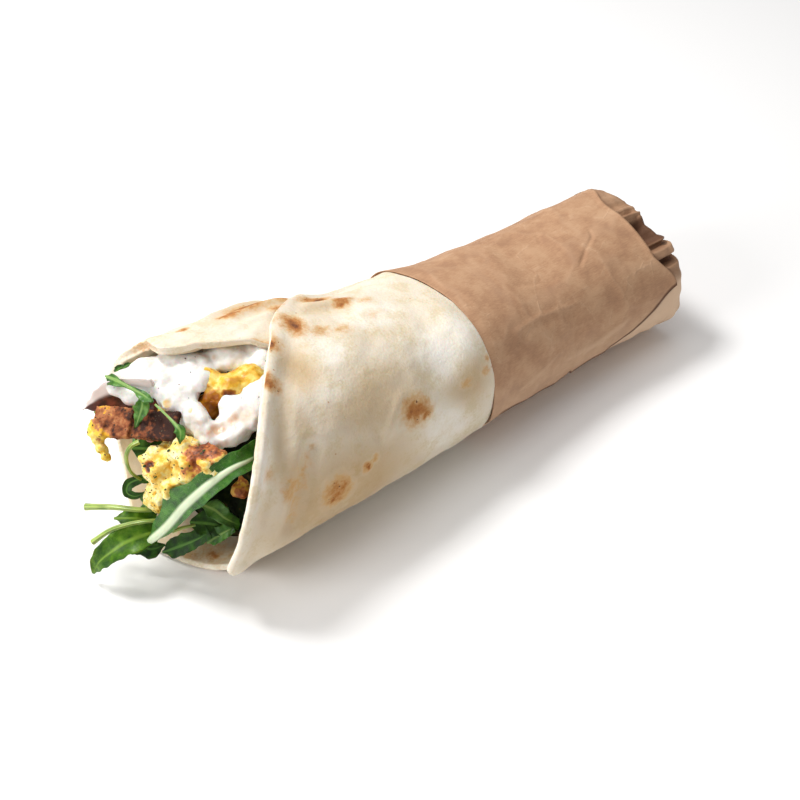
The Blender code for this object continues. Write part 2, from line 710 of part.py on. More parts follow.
def make_filling(bread):
    """Every piece of the filling, each cut back a little from those placed before it."""
    placed = [bread]
    for name, (route, radius) in STALKS.items():
        stalk = make_blade(name, route, rib=radius, stations=8, finish_name="rocket stalk")
        placed.append(keep_clear(stalk, placed))
    for name, sizes in LEAVES.items():
        placed.append(keep_clear(make_blade(name, **sizes), placed))
    petal = make_blade(
        "red_petal",
        ((-122.5, 22, 48.6), (-119, 20, 50.7), (-115, 17.4, 52.6), (-110, 12, 54.6), (-104, 5, 55.6)),
        half_width=5.8, face=(-0.6, -0.7, 0.3), thickness=2.4, cup=0.4, finish_name="red petal",
    )
    placed.append(keep_clear(petal, placed))
    slab = make_lumpy(
        "omelette_slab", SLAB_LUMPS, 380, 0.35, 4.0, along=(16, -23, 5), face=(-0.3, -0.4, 0.86),
        finish_name="browned omelette",
    )
    placed.append(keep_clear(slab, placed))
    masses = []
    for name, lumps, triangles in (
        ("omelette_chunk", CHUNK_LUMPS, 500),
        ("omelette_curl", CURL_LUMPS, 300),
        ("omelette_scrap", SCRAP_LUMPS, 100),
        ("omelette_far", FAR_LUMPS, 260),
    ):
        masses.append(keep_clear(make_lumpy(name, lumps, triangles, 0.6, 4.5), placed + masses))
    sauce = make_lumpy("yogurt_sauce", SAUCE_LUMPS, 700, 0.5, 7.0, finish_name="yogurt")
    masses.append(keep_clear(sauce, placed + masses))
    keep_clear(make_core(), masses, gap=2.0 * PIECE_GAP, detail=0.8)


def main():
    """Clears the scene and builds every piece."""
    for old in list(bpy.data.objects):
        bpy.data.objects.remove(old, do_unlink=True)
    bread = make_flatbread()
    make_paper()
    make_filling(bread)


if __name__ == "__main__":
    main()
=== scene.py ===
"""Looks of the potato omelette wrap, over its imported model.

The bread, the paper, the omelette, the sauce and the leaves are made again at full detail from the
same sizes as the solids that they replace. Sizes here are in millimetres and angles in degrees, and
a mesh turns to metres as it is made. The roll lies along X with its open mouth towards -X.
"""

from __future__ import annotations

import logging
import math
from dataclasses import dataclass, field
from enum import Enum
from typing import Callable, Iterable, Sequence

import bmesh
import bpy
from bpy.types import ID, Material, Mesh, Node, NodeSocket, NodeTree, Object
from mathutils import Matrix, Vector, noise


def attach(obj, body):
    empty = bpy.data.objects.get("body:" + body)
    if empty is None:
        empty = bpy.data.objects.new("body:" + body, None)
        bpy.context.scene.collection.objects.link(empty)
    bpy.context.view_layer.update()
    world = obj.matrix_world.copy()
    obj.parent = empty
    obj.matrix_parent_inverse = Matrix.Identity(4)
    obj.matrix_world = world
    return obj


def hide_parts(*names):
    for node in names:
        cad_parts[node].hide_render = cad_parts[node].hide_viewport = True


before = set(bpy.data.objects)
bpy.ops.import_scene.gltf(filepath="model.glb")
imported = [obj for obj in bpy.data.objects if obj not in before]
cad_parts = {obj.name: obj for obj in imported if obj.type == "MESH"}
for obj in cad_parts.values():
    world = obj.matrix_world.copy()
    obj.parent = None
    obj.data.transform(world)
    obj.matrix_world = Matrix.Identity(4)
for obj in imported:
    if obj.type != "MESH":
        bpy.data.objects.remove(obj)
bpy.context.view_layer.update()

MM = 0.001
LOG = logging.getLogger("omelette wrap")

Point = tuple[float, float, float]
Row = list[int]


def smooth(start: float, end: float, value: float) -> float:
    """A soft step.

    Args:
        start: where it is still 0.
        end: where it has come to 1.
        value: the place asked about.

    Returns:
        0 to 1, with a soft S between.
    """
    t = min(1.0, max(0.0, (value - start) / (end - start)))
    return t * t * (3.0 - 2.0 * t)


def bump(value: float, centre: float, reach: float) -> float:
    """1 at centre, falling softly to 0 at reach on either side."""
    return smooth(1.0, 0.0, abs(value - centre) / reach)


def turned(angle: float, centre: float) -> float:
    """The shortest turn from centre to angle, in degrees."""
    return (angle - centre + 180.0) % 360.0 - 180.0


def rough(spot: Vector, grain: float, octaves: int = 2) -> float:
    """Even noise about 0.

    Args:
        spot: the place, in millimetres.
        grain: the size of one lump, in millimetres.
        octaves: how many finer layers are added, each half as strong.

    Returns:
        A height, mostly within -1 and 1.
    """
    total, share, place = 0.0, 1.0, spot / grain
    for _ in range(octaves):
        total += share * noise.noise(place)
        share *= 0.5
        place = place * 2.1 + Vector((3.7, 1.3, 5.1))
    return total


def on_drum(x: float, angle: float, radius: float) -> Vector:
    """A place on a plain drum round X, where noise closes on itself."""
    return Vector((x, radius * math.cos(math.radians(angle)), radius * math.sin(math.radians(angle))))


def placed(name: str, data: ID) -> Object:
    """Puts a mesh, a curve, a light or a camera in the scene.

    Args:
        name: the new object's name.
        data: what it shows.

    Returns:
        The object.
    """
    made = bpy.data.objects.new(name, data)
    bpy.context.scene.collection.objects.link(made)
    return made


def linear(hex_colour: str) -> tuple[float, float, float, float]:
    """An sRGB hex colour as the linear values that a shader takes."""
    parts = [int(hex_colour[k : k + 2], 16) / 255.0 for k in (0, 2, 4)]
    return (*[c / 12.92 if c <= 0.04045 else ((c + 0.055) / 1.055) ** 2.4 for c in parts], 1.0)


def per(size: float) -> float:
    """The scale that makes a pattern's features that many millimetres across."""
    return 1.0 / (size * MM)


# Finishes


class NodeMaker:
    """A node tree while it is being made."""

    family = ""
    place: NodeSocket | None = None
    tree: NodeTree

    def add(self, kind: str, inputs: dict | None = None, ramp: Sequence = (), **settings) -> Node:
        """Adds a node.

        Args:
            kind: Blender's name for the node, after the family that all of this maker's nodes are of. A
                texture reads the place on the object, unless it is given another.
            inputs: values and links by the input's name or number; a node stands for its first output.
            ramp: the stops of a colour ramp, each a position and a hex colour.
            settings: the node's own settings.

        Returns:
            The new node.
        """
        node = self.tree.nodes.new(self.family + kind)
        for key, value in settings.items():
            setattr(node, key, value)
        place = {"Vector": self.place} if kind.startswith("Tex") and self.place else {}
        for key, value in {**place, **(inputs or {})}.items():
            if isinstance(value, Node):
                value = value.outputs[0]
            if isinstance(value, NodeSocket):
                self.tree.links.new(value, node.inputs[key])
            else:
                node.inputs[key].default_value = value
        for k, (position, colour) in enumerate(ramp):
            stops = node.color_ramp.elements
            stop = stops[k] if k < 2 else stops.new(position)
            stop.position, stop.color = position, linear(colour)
        return node


class Recipe(NodeMaker):
    """A material's node tree while it is being made.

    In a Map Range node the inputs 1 to 4 are from the least, from the most, to the first and to the
    last value; in a Mix node of colours 6 and 7 are the colours, and output 2 is what they give.
    """

    family = "ShaderNode"

    def __init__(self, name: str) -> None:
        """Starts a material with a Principled shader and the place on the object, in metres.

        Args:
            name: the material's name.
        """
        self.material = bpy.data.materials.new(name)
        self.material.use_nodes = True
        self.tree = self.material.node_tree
        self.shader = self.tree.nodes["Principled BSDF"]
        self.place = self.add("TexCoord").outputs["Object"]

    def finished(self, finish: Finish, colour, bump_height, **values: float) -> Material:
        """Joins the colour and the relief to the shader.

        Args:
            finish: whose relief and roughness the surface has.
            colour: the node or socket that gives the colour.
            bump_height: the node or socket that gives the relief, 0 to 1.
            values: the shader's other numbers by input name, with _ for a space.

        Returns:
            The material.
        """
        relief = self.add("Bump", {"Height": bump_height, "Distance": finish.relief * MM, "Strength": 1.0})
        self.tree.links.new(relief.outputs[0], self.shader.inputs["Normal"])
        socket = colour.outputs[0] if isinstance(colour, Node) else colour
        self.tree.links.new(socket, self.shader.inputs["Base Color"])
        self.shader.inputs["Roughness"].default_value = finish.roughness
        for name, value in values.items():
            self.shader.inputs[name.replace("_", " ")].default_value = value
        return self.material


@dataclass(frozen=True)
class Finish:
    """What a surface is made of, and how it was made; its relief is a depth in millimetres."""

    name: str
    slot: str
    relief: float = 0.1
    roughness: float = 0.7

    def material(self) -> Material:
        """The finish's material, made once."""
        return bpy.data.materials.get(self.name) or self.mixed(Recipe(self.name))

    def mixed(self, mix: Recipe) -> Material:
        """Fills in the recipe; each finish has its own."""
        raise NotImplementedError


@dataclass(frozen=True)
class BakedFlatbread(Finish):
    """Thin wheat flatbread, baked on a hot plate: dry, floury and matt, with toasted blisters.

    The painted value toast says how brown a place is, and its edges are broken up by the blister
    pattern. The value tan is a faint even tanning and, above that, painted shade
    over the shaded near side, the valleys and the inside; below 0 it is a painted highlight.
    """

    name: str = "wheat flatbread, plate baked"
    slot: str = "flatbread"
    relief: float = 0.14
    roughness: float = 0.82
    floury: str = "F1E8D8"
    crumb: str = "EADEC8"
    dull: str = "DFCFB0"
    tanned: str = "C2A377"
    painted_highlight_white: str = "FCF6EC"
    golden: str = "D6A668"
    brown: str = "AE6C30"
    scorched: str = "6A3516"
    flour_grain: float = 0.9
    patch: float = 7.0
    blister: float = 2.4
    fleck_spacing: float = 9.0

    def mixed(self, mix: Recipe) -> Material:
        """Cream crumb and flour, toast over them, and scattered dark flecks.

        Args:
            mix: the recipe to fill in.

        Returns:
            The material.
        """
        add = mix.add
        grain = add("TexNoise", {"Scale": per(self.flour_grain), "Detail": 4.0})
        patches = add("TexNoise", {"Scale": per(self.patch), "Detail": 6.0})
        both = add("Math", {0: grain, 1: 0.6, 2: patches}, operation="MULTIPLY_ADD")
        tones = ((0.64, self.dull), (0.95, self.floury), (0.78, self.crumb))
        dough = add("ValToRGB", {"Fac": both}, ramp=tones)
        # Added to the dough's own warm tone, the painted value darkens the crust as painted shade.
        tan = add("Attribute", attribute_name="tan").outputs["Fac"]
        warmth_and_shade = add("Math", {0: both, 1: 0.6, 2: -0.48}, operation="MULTIPLY_ADD")
        warmth_and_shade = add("Math", {0: warmth_and_shade, 1: tan}, operation="ADD")
        warmth_and_shade = add("Math", {0: warmth_and_shade, 1: 0.85}, operation="MULTIPLY", use_clamp=True)
        dough = add("Mix", {0: warmth_and_shade, 6: dough, 7: linear(self.tanned)}, data_type="RGBA").outputs[2]
        # Below 0.1 the same value whitens the crust, a painted highlight.
        pale = add("MapRange", {0: tan, 1: 0.1, 2: -0.9, 3: 0.0, 4: 0.9})
        dough = add("Mix", {0: pale, 6: dough, 7: linear(self.painted_highlight_white)}, data_type="RGBA").outputs[2]
        toast = add("Attribute", attribute_name="toast").outputs["Fac"]
        blisters = add("TexNoise", {"Scale": per(self.blister), "Detail": 5.0, "Roughness": 0.65})
        uneven = add("Math", {0: blisters, 1: 0.5}, operation="SUBTRACT")
        spread = add("Math", {0: toast, 1: 0.4}, operation="POWER")
        uneven = add("Math", {0: uneven, 1: spread}, operation="MULTIPLY")
        toasted = add("Math", {0: uneven, 1: 1.1, 2: toast}, operation="MULTIPLY_ADD")
        share = add("MapRange", {0: toasted, 1: 0.10, 2: 0.62, 3: 0.0, 4: 0.95})
        tones = ((0.12, self.crumb), (1.0, self.scorched), (0.40, self.golden), (0.74, self.brown))
        browns = add("ValToRGB", {"Fac": toasted}, ramp=tones)
        colour = add("Mix", {0: share, 6: dough, 7: browns}, data_type="RGBA").outputs[2]
        flecks = add("TexVoronoi", {"Scale": per(self.fleck_spacing), "Randomness": 1.0})
        small = add("MapRange", {0: flecks.outputs["Distance"], 1: 0.02, 2: 0.055, 3: 0.7, 4: 0.0})
        colour = add("Mix", {0: small, 6: colour, 7: linear(self.brown)}, data_type="RGBA").outputs[2]
        height = add("Math", {0: blisters, 1: 1.4, 2: grain}, operation="MULTIPLY_ADD")
        return mix.finished(
            self, colour, height, Subsurface_Weight=0.12, Subsurface_Scale=0.0015, Specular_IOR_Level=0.25
        )


@dataclass(frozen=True)
class KraftPaper(Finish):
    """Unbleached kraft wrapping paper, calendered on a machine: matt, with fine fibres and soft creases.

    The painted value crease marks sharp folds, where the paper is rubbed a little lighter, and also
    carries painted highlights along the second layer's free edge and on the ridges of the gathered end.
    hollow is painted shade in the pleats and over the gathered end, and painted shadow
    along the free edges. inner is the lighter layer below, and partly painted light from below, low on
    the near side. Real fibres are about 0.03 mm wide, and are drawn ten times as wide to show at all.
    """

    name: str = "kraft paper, unbleached"
    slot: str = "kraft_paper"
    relief: float = 0.12
    roughness: float = 0.72
    dark: str = "AA8163"
    middle: str = "B68C6B"
    light: str = "C29A78"
    rubbed: str = "D0AC8C"
    deep: str = "54301C"
    pale: str = "EACBAC"
    fibre_width: float = 0.30
    cloud: float = 9.0
    facet: float = 15.0
    wander: float = 11.0

    def mixed(self, mix: Recipe) -> Material:
        """Cloudy brown pulp, fibres along it, and lighter creases.

        Args:
            mix: the recipe to fill in.

        Returns:
            The material.
        """
        add = mix.add
        lie = {"Vector": mix.place, "Rotation": (0.5, 0.2, 0.35), "Scale": (0.12, 1.0, 1.0)}
        stretch = add("Mapping", lie)
        fibres = add("TexNoise", {"Vector": stretch, "Scale": per(self.fibre_width), "Detail": 3.0})
        clouds = add("TexNoise", {"Scale": per(self.cloud), "Detail": 7.0, "Roughness": 0.62})
        both = add("Math", {0: fibres, 1: 0.45}, operation="MULTIPLY")
        both = add("Math", {0: clouds, 1: both}, operation="ADD")
        tones = ((0.56, self.dark), (0.86, self.light), (0.70, self.middle))
        pulp = add("ValToRGB", {"Fac": both}, ramp=tones)
        crease = add("Attribute", attribute_name="crease").outputs["Fac"]
        bent = add("TexNoise", {"Scale": per(self.wander), "Detail": 2.0}).outputs["Color"]
        bent = add("VectorMath", {0: bent, 1: (self.wander * 0.6 * MM,) * 3}, operation="MULTIPLY")
        bent = add("VectorMath", {0: bent, 1: mix.place}, operation="ADD")
        lines = add("TexVoronoi", {"Vector": bent, "Scale": per(self.facet)}, feature="DISTANCE_TO_EDGE")
        lines = add("MapRange", {0: lines.outputs["Distance"], 1: 0.0, 2: 0.035, 3: 1.0, 4: 0.0})
        here = add("MapRange", {0: clouds, 1: 0.50, 2: 0.62, 3: 0.0, 4: 1.0})
        lines = add("Math", {0: lines, 1: here}, operation="MULTIPLY")
        share = add("Math", {0: lines, 1: 0.6, 2: crease}, operation="MULTIPLY_ADD")
        share = add("Math", {0: share, 1: 0.55}, operation="MULTIPLY", use_clamp=True)
        colour = add("Mix", {0: share, 6: pulp, 7: linear(self.rubbed)}, data_type="RGBA").outputs[2]
        # inner is the lighter lower layer, and partly painted light low on the near side.
        inner = add("Attribute", attribute_name="inner").outputs["Fac"]
        share = add("Math", {0: inner, 1: 0.8}, operation="MULTIPLY")
        colour = add("Mix", {0: share, 6: colour, 7: linear(self.pale)}, data_type="RGBA").outputs[2]
        # Painted shade: darker in the pleats, over the gathered end and along the free edges.
        hollow = add("Attribute", attribute_name="hollow").outputs["Fac"]
        share = add("Math", {0: hollow, 1: 0.85}, operation="MULTIPLY", use_clamp=True)
        colour = add("Mix", {0: share, 6: colour, 7: linear(self.deep)}, data_type="RGBA").outputs[2]
        height = add("Math", {0: fibres, 1: 0.5, 2: clouds}, operation="MULTIPLY_ADD")
        height = add("Math", {0: lines, 1: 0.7, 2: height}, operation="MULTIPLY_ADD")
        return mix.finished(self, colour, height, Specular_IOR_Level=0.3)


@dataclass(frozen=True)
class YogurtSauce(Finish):
    """Strained yogurt, stirred smooth and spooned on: thick, white and moist, and it lets light in.

    The painted values egg and brine mark where egg shows through and where juice has tinted it.
    """

    name: str = "strained yogurt, stirred"
    slot: str = "yogurt"
    relief: float = 0.25
    roughness: float = 0.32
    white: str = "EFECE7"
    shade: str = "E2DED6"
    tinted: str = "D2A880"
    egg: str = "E2B23F"
    curd: float = 2.2

    def mixed(self, mix: Recipe) -> Material:
        """Near white, tinted where it is thin.

        Args:
            mix: the recipe to fill in.

        Returns:
            The material.
        """
        add = mix.add
        curds = add("TexNoise", {"Scale": per(self.curd), "Detail": 4.0})
        cream = add("ValToRGB", {"Fac": curds}, ramp=((0.35, self.shade), (0.55, self.white)))
        brine = add("Attribute", attribute_name="brine").outputs["Fac"]
        thin = add("Math", {0: curds, 1: brine}, operation="MULTIPLY")
        thin = add("MapRange", {0: thin, 1: 0.10, 2: 0.55, 3: 0.0, 4: 0.9})
        colour = add("Mix", {0: thin, 6: cream, 7: linear(self.tinted)}, data_type="RGBA").outputs[2]
        egg = add("Attribute", attribute_name="egg").outputs["Fac"]
        shown = add("Math", {0: curds, 1: egg}, operation="MULTIPLY")
        shown = add("MapRange", {0: shown, 1: 0.12, 2: 0.42, 3: 0.0, 4: 0.95})
        colour = add("Mix", {0: shown, 6: colour, 7: linear(self.egg)}, data_type="RGBA").outputs[2]
        return mix.finished(
            self, colour, curds, Subsurface_Weight=0.35, Subsurface_Scale=0.003, Specular_IOR_Level=0.45
        )


@dataclass(frozen=True)
class FriedEgg(Finish):
    """Egg set in a hot pan: a soft, porous yellow curd with a browned skin where it met the metal.

    The painted value brown says how fried a place is.
    """

    name: str = "omelette, pan fried"
    slot: str = "omelette"
    relief: float = 0.35
    roughness: float = 0.45
    pale: str = "FDF0B6"
    yellow: str = "F8DA74"
    deep: str = "E6B035"
    orange: str = "CF8142"
    brown: str = "9A5228"
    dark: str = "4E2412"
    pore: float = 1.3
    fold: float = 4.5

    def mixed(self, mix: Recipe) -> Material:
        """Mottled yellow curd, and a browned skin over part of it.

        Args:
            mix: the recipe to fill in.

        Returns:
            The material.
        """
        add = mix.add
        pores = add("TexNoise", {"Scale": per(self.pore), "Detail": 5.0})
        folds = add("TexNoise", {"Scale": per(self.fold), "Detail": 4.0})
        both = add("Math", {0: pores, 1: 0.7, 2: folds}, operation="MULTIPLY_ADD")
        tones = ((0.66, self.deep), (0.98, self.pale), (0.82, self.yellow))
        curd = add("ValToRGB", {"Fac": both}, ramp=tones)
        brown = add("Attribute", attribute_name="brown").outputs["Fac"]
        uneven = add("Math", {0: both, 1: 0.85}, operation="SUBTRACT")
        fried = add("Math", {0: uneven, 1: 1.3, 2: brown}, operation="MULTIPLY_ADD")
        tones = ((0.30, self.deep), (1.10, self.dark), (0.48, self.orange), (0.74, self.brown))
        skin = add("ValToRGB", {"Fac": fried}, ramp=tones)
        share = add("MapRange", {0: fried, 1: 0.22, 2: 0.48, 3: 0.0, 4: 1.0})
        colour = add("Mix", {0: share, 6: curd, 7: skin}, data_type="RGBA").outputs[2]
        return mix.finished(
            self, colour, both, Subsurface_Weight=0.15, Subsurface_Scale=0.002, Specular_IOR_Level=0.4
        )


@dataclass(frozen=True)
class RocketLeaf(Finish):
    """A fresh rocket leaf: waxy green with a pale, ribbed midrib and a net of veins.

    The UV map runs across the blade in u, with the midrib at 0.5, and along it in v. The painted value
    rib is 1 on the midrib.
    """

    name: str = "rocket leaf, fresh"
    slot: str = "rocket_leaf"
    relief: float = 0.18
    roughness: float = 0.38
    dark: str = "23500F"
    green: str = "41781A"
    bright: str = "67953A"
    rib: str = "86AA56"
    vein_count: float = 9.0
    cell: float = 3.0
    sheen: float = 0.5

    def mixed(self, mix: Recipe) -> Material:
        """Clouded green, lighter veins running out and forwards, and the midrib.

        Args:
            mix: the recipe to fill in.

        Returns:
            The material.
        """
        add = mix.add
        clouds = add("TexNoise", {"Scale": per(self.cell), "Detail": 5.0})
        tones = ((0.34, self.dark), (0.70, self.bright), (0.54, self.green))
        blade = add("ValToRGB", {"Fac": clouds}, ramp=tones)
        spot = add("SeparateXYZ", {0: add("UVMap", uv_map="blade")})
        across = add("Math", {0: spot.outputs["X"], 1: 0.5}, operation="SUBTRACT")
        across = add("Math", {0: across}, operation="ABSOLUTE")
        wave = add("Math", {0: across, 1: -1.1, 2: spot.outputs["Y"]}, operation="MULTIPLY_ADD")
        wave = add("Math", {0: wave, 1: clouds}, operation="ADD")
        wave = add("Math", {0: wave, 1: self.vein_count * math.pi}, operation="MULTIPLY")
        wave = add("Math", {0: wave}, operation="SINE")
        wave = add("Math", {0: wave}, operation="ABSOLUTE")
        vein = add("MapRange", {0: wave, 1: 0.0, 2: 0.22, 3: 0.16, 4: 0.0})
        colour = add("Mix", {0: vein, 6: blade, 7: linear(self.rib)}, data_type="RGBA").outputs[2]
        rib = add("Attribute", attribute_name="rib").outputs["Fac"]
        colour = add("Mix", {0: rib, 6: colour, 7: linear(self.rib)}, data_type="RGBA").outputs[2]
        height = add("Math", {0: vein, 1: -1.5, 2: clouds}, operation="MULTIPLY_ADD")
        return mix.finished(
            self, colour, height, Subsurface_Weight=0.10, Subsurface_Scale=0.001,
            Specular_IOR_Level=self.sheen,
        )


@dataclass(frozen=True)
class RocketStalk(Finish):
    """A fresh rocket stalk: smooth, pale yellow green and finely striped along its length."""

    name: str = "rocket stalk, fresh"
    slot: str = "rocket_stalk"
    relief: float = 0.06
    roughness: float = 0.33
    green: str = "73903A"
    pale: str = "ABC160"
    stripes: float = 7.0
    cloud: float = 5.0

    def mixed(self, mix: Recipe) -> Material:
        """Stripes along the stalk, from the UV map's u, which runs round it.

        Args:
            mix: the recipe to fill in.

        Returns:
            The material.
        """
        add = mix.add
        spot = add("SeparateXYZ", {0: add("UVMap", uv_map="blade")})
        wave = add("Math", {0: spot.outputs["X"], 1: self.stripes * 2.0 * math.pi}, operation="MULTIPLY")
        wave = add("Math", {0: wave}, operation="SINE")
        clouds = add("TexNoise", {"Scale": per(self.cloud), "Detail": 3.0})
        both = add("Math", {0: wave, 1: 0.12, 2: clouds}, operation="MULTIPLY_ADD")
        colour = add("ValToRGB", {"Fac": both}, ramp=((0.35, self.green), (0.62, self.pale)))
        return mix.finished(
            self, colour, wave, Subsurface_Weight=0.15, Subsurface_Scale=0.002, Specular_IOR_Level=0.5
        )


@dataclass(frozen=True)
class RedPetal(Finish):
    """A thick red salad petal: smeared pinkish white on top, and a wet dark red skin underneath.

    The painted value smear is 1 along the upper edge, on both faces. The dark red skin below it is
    partly painted shade, the shadow in the gap under the sauce.
    """

    name: str = "red salad petal, smeared"
    slot: str = "red_petal"
    relief: float = 0.2
    roughness: float = 0.3
    skin: str = "30120A"
    shaded_flesh: str = "7A3A26"
    smear: str = "EFE2DC"
    mottle: float = 2.4

    def mixed(self, mix: Recipe) -> Material:
        """Dark mottled skin under, cream over it.

        Args:
            mix: the recipe to fill in.

        Returns:
            The material.
        """
        add = mix.add
        clouds = add("TexNoise", {"Scale": per(self.mottle), "Detail": 5.0})
        # The dark red under the smear is partly painted shade.
        under = add("ValToRGB", {"Fac": clouds}, ramp=((0.38, self.skin), (0.72, self.shaded_flesh)))
        top = add("Attribute", attribute_name="smear").outputs["Fac"]
        colour = add("Mix", {0: top, 6: under, 7: linear(self.smear)}, data_type="RGBA").outputs[2]
        return mix.finished(
            self, colour, clouds, Subsurface_Weight=0.12, Subsurface_Scale=0.002, Specular_IOR_Level=0.5
        )


@dataclass(frozen=True)
class Mottled(Finish):
    """Something rough and broken up, whose tones change from scrap to scrap.

    Packed filling is dark leaves with crumbs of egg between them, seen only in the gaps between the
    pieces; its near-black tones are painted shade, for gaps that the light does not reach. Ground
    pepper, rubbed herb and crumbs are small, rough grains.
    """

    tones: tuple[tuple[float, str], ...] = ()
    scrap: float = 1.0
    detail: float = 2.0
    breakup: float = 0.5
    shine: float = 0.5

    def mixed(self, mix: Recipe) -> Material:
        """Tones from one clouded pattern, which is the relief too.

        Args:
            mix: the recipe to fill in.

        Returns:
            The material.
        """
        pattern = {"Scale": per(self.scrap), "Detail": self.detail, "Roughness": self.breakup}
        clouds = mix.add("TexNoise", pattern)
        colour = mix.add("ValToRGB", {"Fac": clouds}, ramp=self.tones)
        return mix.finished(self, colour, clouds, Specular_IOR_Level=self.shine)


def spice(name: str, slot: str, dark: str, light: str) -> Mottled:
    """Coarsely ground or rubbed grains in two tones."""
    return Mottled(name=name, slot=slot, tones=((0.40, dark), (0.62, light)))


class Greens(Enum):
    """The tones that the leaves come in."""

    FRESH = RocketLeaf()
    BROAD = RocketLeaf(
        name="rocket leaf, full grown", dark="23500E", green="397218", bright="568E2E", rib="DCE9C4"
    )
    # The darker leaves, used deep in the mouth and under other pieces, are partly a deeper green and partly
    # painted shade.
    DARK = RocketLeaf(
        name="rocket leaf, dark green with painted shade", dark="15320A", green="2B5512", bright="467524", rib="5C8A3A",
        roughness=0.5, sheen=0.3,
    )
    BRIGHT = RocketLeaf(
        name="rocket leaf, young and bright", dark="264E04", green="456E06", bright="688E22", rib="7C9E34",
        sheen=0.25,
    )


class Spices(Enum):
    """What is sprinkled over the filling."""

    PEPPER = spice("black pepper, coarsely ground", "omelette", "241A12", "5B4730")
    HERB = spice("dried herb, rubbed", "omelette", "26401A", "4F6F2C")
    CRUST = spice("toasted crust crumbs", "flatbread", "5E3418", "A8713B")


BREAD_FINISH = BakedFlatbread()
PAPER_FINISH = KraftPaper()
SAUCE_FINISH = YogurtSauce()
EGG_FINISH = FriedEgg()
FRIED_FINISH = FriedEgg(
    name="omelette, browned on the pan", slot="browned_omelette", pale="F9E28C", yellow="F3CE50",
    deep="DFA422", orange="B87A4C", brown="8A4A26", dark="34160A", roughness=0.8,
)
POTATO_FINISH = FriedEgg(
    name="potato, fried golden", pale="F4D677", yellow="E8B83C", deep="C98B18", orange="B8740E",
    brown="965008", dark="6A3306", pore=2.2, roughness=0.35,
)
STALK_FINISH = RocketStalk()
PETAL_FINISH = RedPetal()
# Its near-black tones are painted shade for the deep gaps between the pieces.
CORE_SHADE_FINISH = Mottled(
    name="packed leaves and egg in painted shade", slot="packed_filling", relief=0.8, roughness=0.9,
    tones=((0.36, "0A0D06"), (0.74, "4A3814"), (0.55, "17240E")), scrap=5.0, detail=5.0, breakup=0.6,
    shine=0.1,
)


# Making meshes


class Shell:
    """Collects a closed surface, row by row, and makes it an object of the wrap."""

    def __init__(self, name: str, painted: Iterable[str] = ()) -> None:
        """Starts an empty surface.

        Args:
            name: the piece's name.
            painted: the names of the values painted on its points.
        """
        self.name = name
        self.points: list[Vector] = []
        self.faces: list[tuple[int, ...]] = []
        self.painted: dict[str, list[float]] = {key: [] for key in painted}
        self.uvs: list[tuple[float, float]] = []

    def row(self, points: Iterable[Vector], uvs: Sequence[tuple[float, float]] = (), **values) -> Row:
        """Adds a row of points.

        Args:
            points: their places, in millimetres.
            uvs: their places on the UV map, where the piece has one.
            values: painted values by name, a list or one number for the whole row.

        Returns:
            The points' numbers.
        """
        points = list(points)
        first = len(self.points)
        self.points += points
        self.uvs += list(uvs) or [(0.0, 0.0)] * len(points)
        for key, kept in self.painted.items():
            value = values.get(key, 0.0)
            kept += list(value) if isinstance(value, (list, tuple)) else [value] * len(points)
        return list(range(first, first + len(points)))

    def strip(self, first: Row, second: Row, closed: bool = False) -> None:
        """Joins two rows as long as each other with quads.

        Args:
            first: one row.
            second: the next.
            closed: whether each row's ends are joined too.
        """
        if closed:
            first, second = first + first[:1], second + second[:1]
        for k in range(len(first) - 1):
            self.faces.append((first[k], first[k + 1], second[k + 1], second[k]))

    def wrapped(self, tops: list[Row], backs: list[Row]) -> None:
        """Closes a sheet between its two faces.

        Args:
            tops: the rows of its upper face.
            backs: the rows of its lower face, as many and as long.
        """
        for k in range(len(tops) - 1):
            self.strip(tops[k], tops[k + 1])
            self.strip(backs[k + 1], backs[k])
        self.strip(backs[0], tops[0])
        self.strip(tops[-1], backs[-1])
        for end in (0, -1):
            self.strip([row[end] for row in tops], [row[end] for row in backs])

    def cap(self, ring: Row) -> None:
        """Closes a ring with triangles about its middle.

        Args:
            ring: the ring's points.
        """
        middle = sum((self.points[k] for k in ring), Vector()) / len(ring)
        values = {key: kept[ring[0]] for key, kept in self.painted.items()}
        hub = self.row([middle], [self.uvs[ring[0]]], **values)[0]
        for k in range(len(ring)):
            self.faces.append((ring[k], ring[(k + 1) % len(ring)], hub))

    def made(self) -> Object:
        """Makes the surface an object.

        Returns:
            The piece, in metres, its faces pointing outwards.
        """
        data = bpy.data.meshes.new(self.name)
        data.from_pydata([p * MM for p in self.points], [], self.faces)
        mesh = bmesh.new()
        mesh.from_mesh(data)
        bmesh.ops.recalc_face_normals(mesh, faces=mesh.faces)
        mesh.to_mesh(data)
        mesh.free()
        for key, kept in self.painted.items():
            data.attributes.new(key, "FLOAT", "POINT").data.foreach_set("value", kept)
        layer = data.uv_layers.new(name="blade")
        for loop in data.loops:
            layer.data[loop.index].uv = self.uvs[loop.vertex_index]
        data.shade_smooth()
        return placed(self.name, data)


def dressed(piece: Object, finish: Finish, *nodes: str) -> Object:
    """Gives a piece its finish and its place in the frame.

    Args:
        piece: the finished object.
        finish: what it is made of.
        nodes: the CAD nodes that it stands for.

    Returns:
        The piece.
    """
    piece.data.materials.clear()
    piece.data.materials.append(finish.material())
    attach(piece, "root")
    if nodes:
        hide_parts(*nodes)
    LOG.info("%s: %d faces of %s", piece.name, len(piece.data.polygons), finish.name)
    return piece


def settled(piece: Object) -> Object:
    """Turns what a piece's modifiers give into its own mesh.

    Args:
        piece: the object with its modifiers.

    Returns:
        The same object, without them.
    """
    graph = bpy.context.evaluated_depsgraph_get()
    data = bpy.data.meshes.new_from_object(piece.evaluated_get(graph))
    piece.modifiers.clear()
    piece.data = data
    return piece


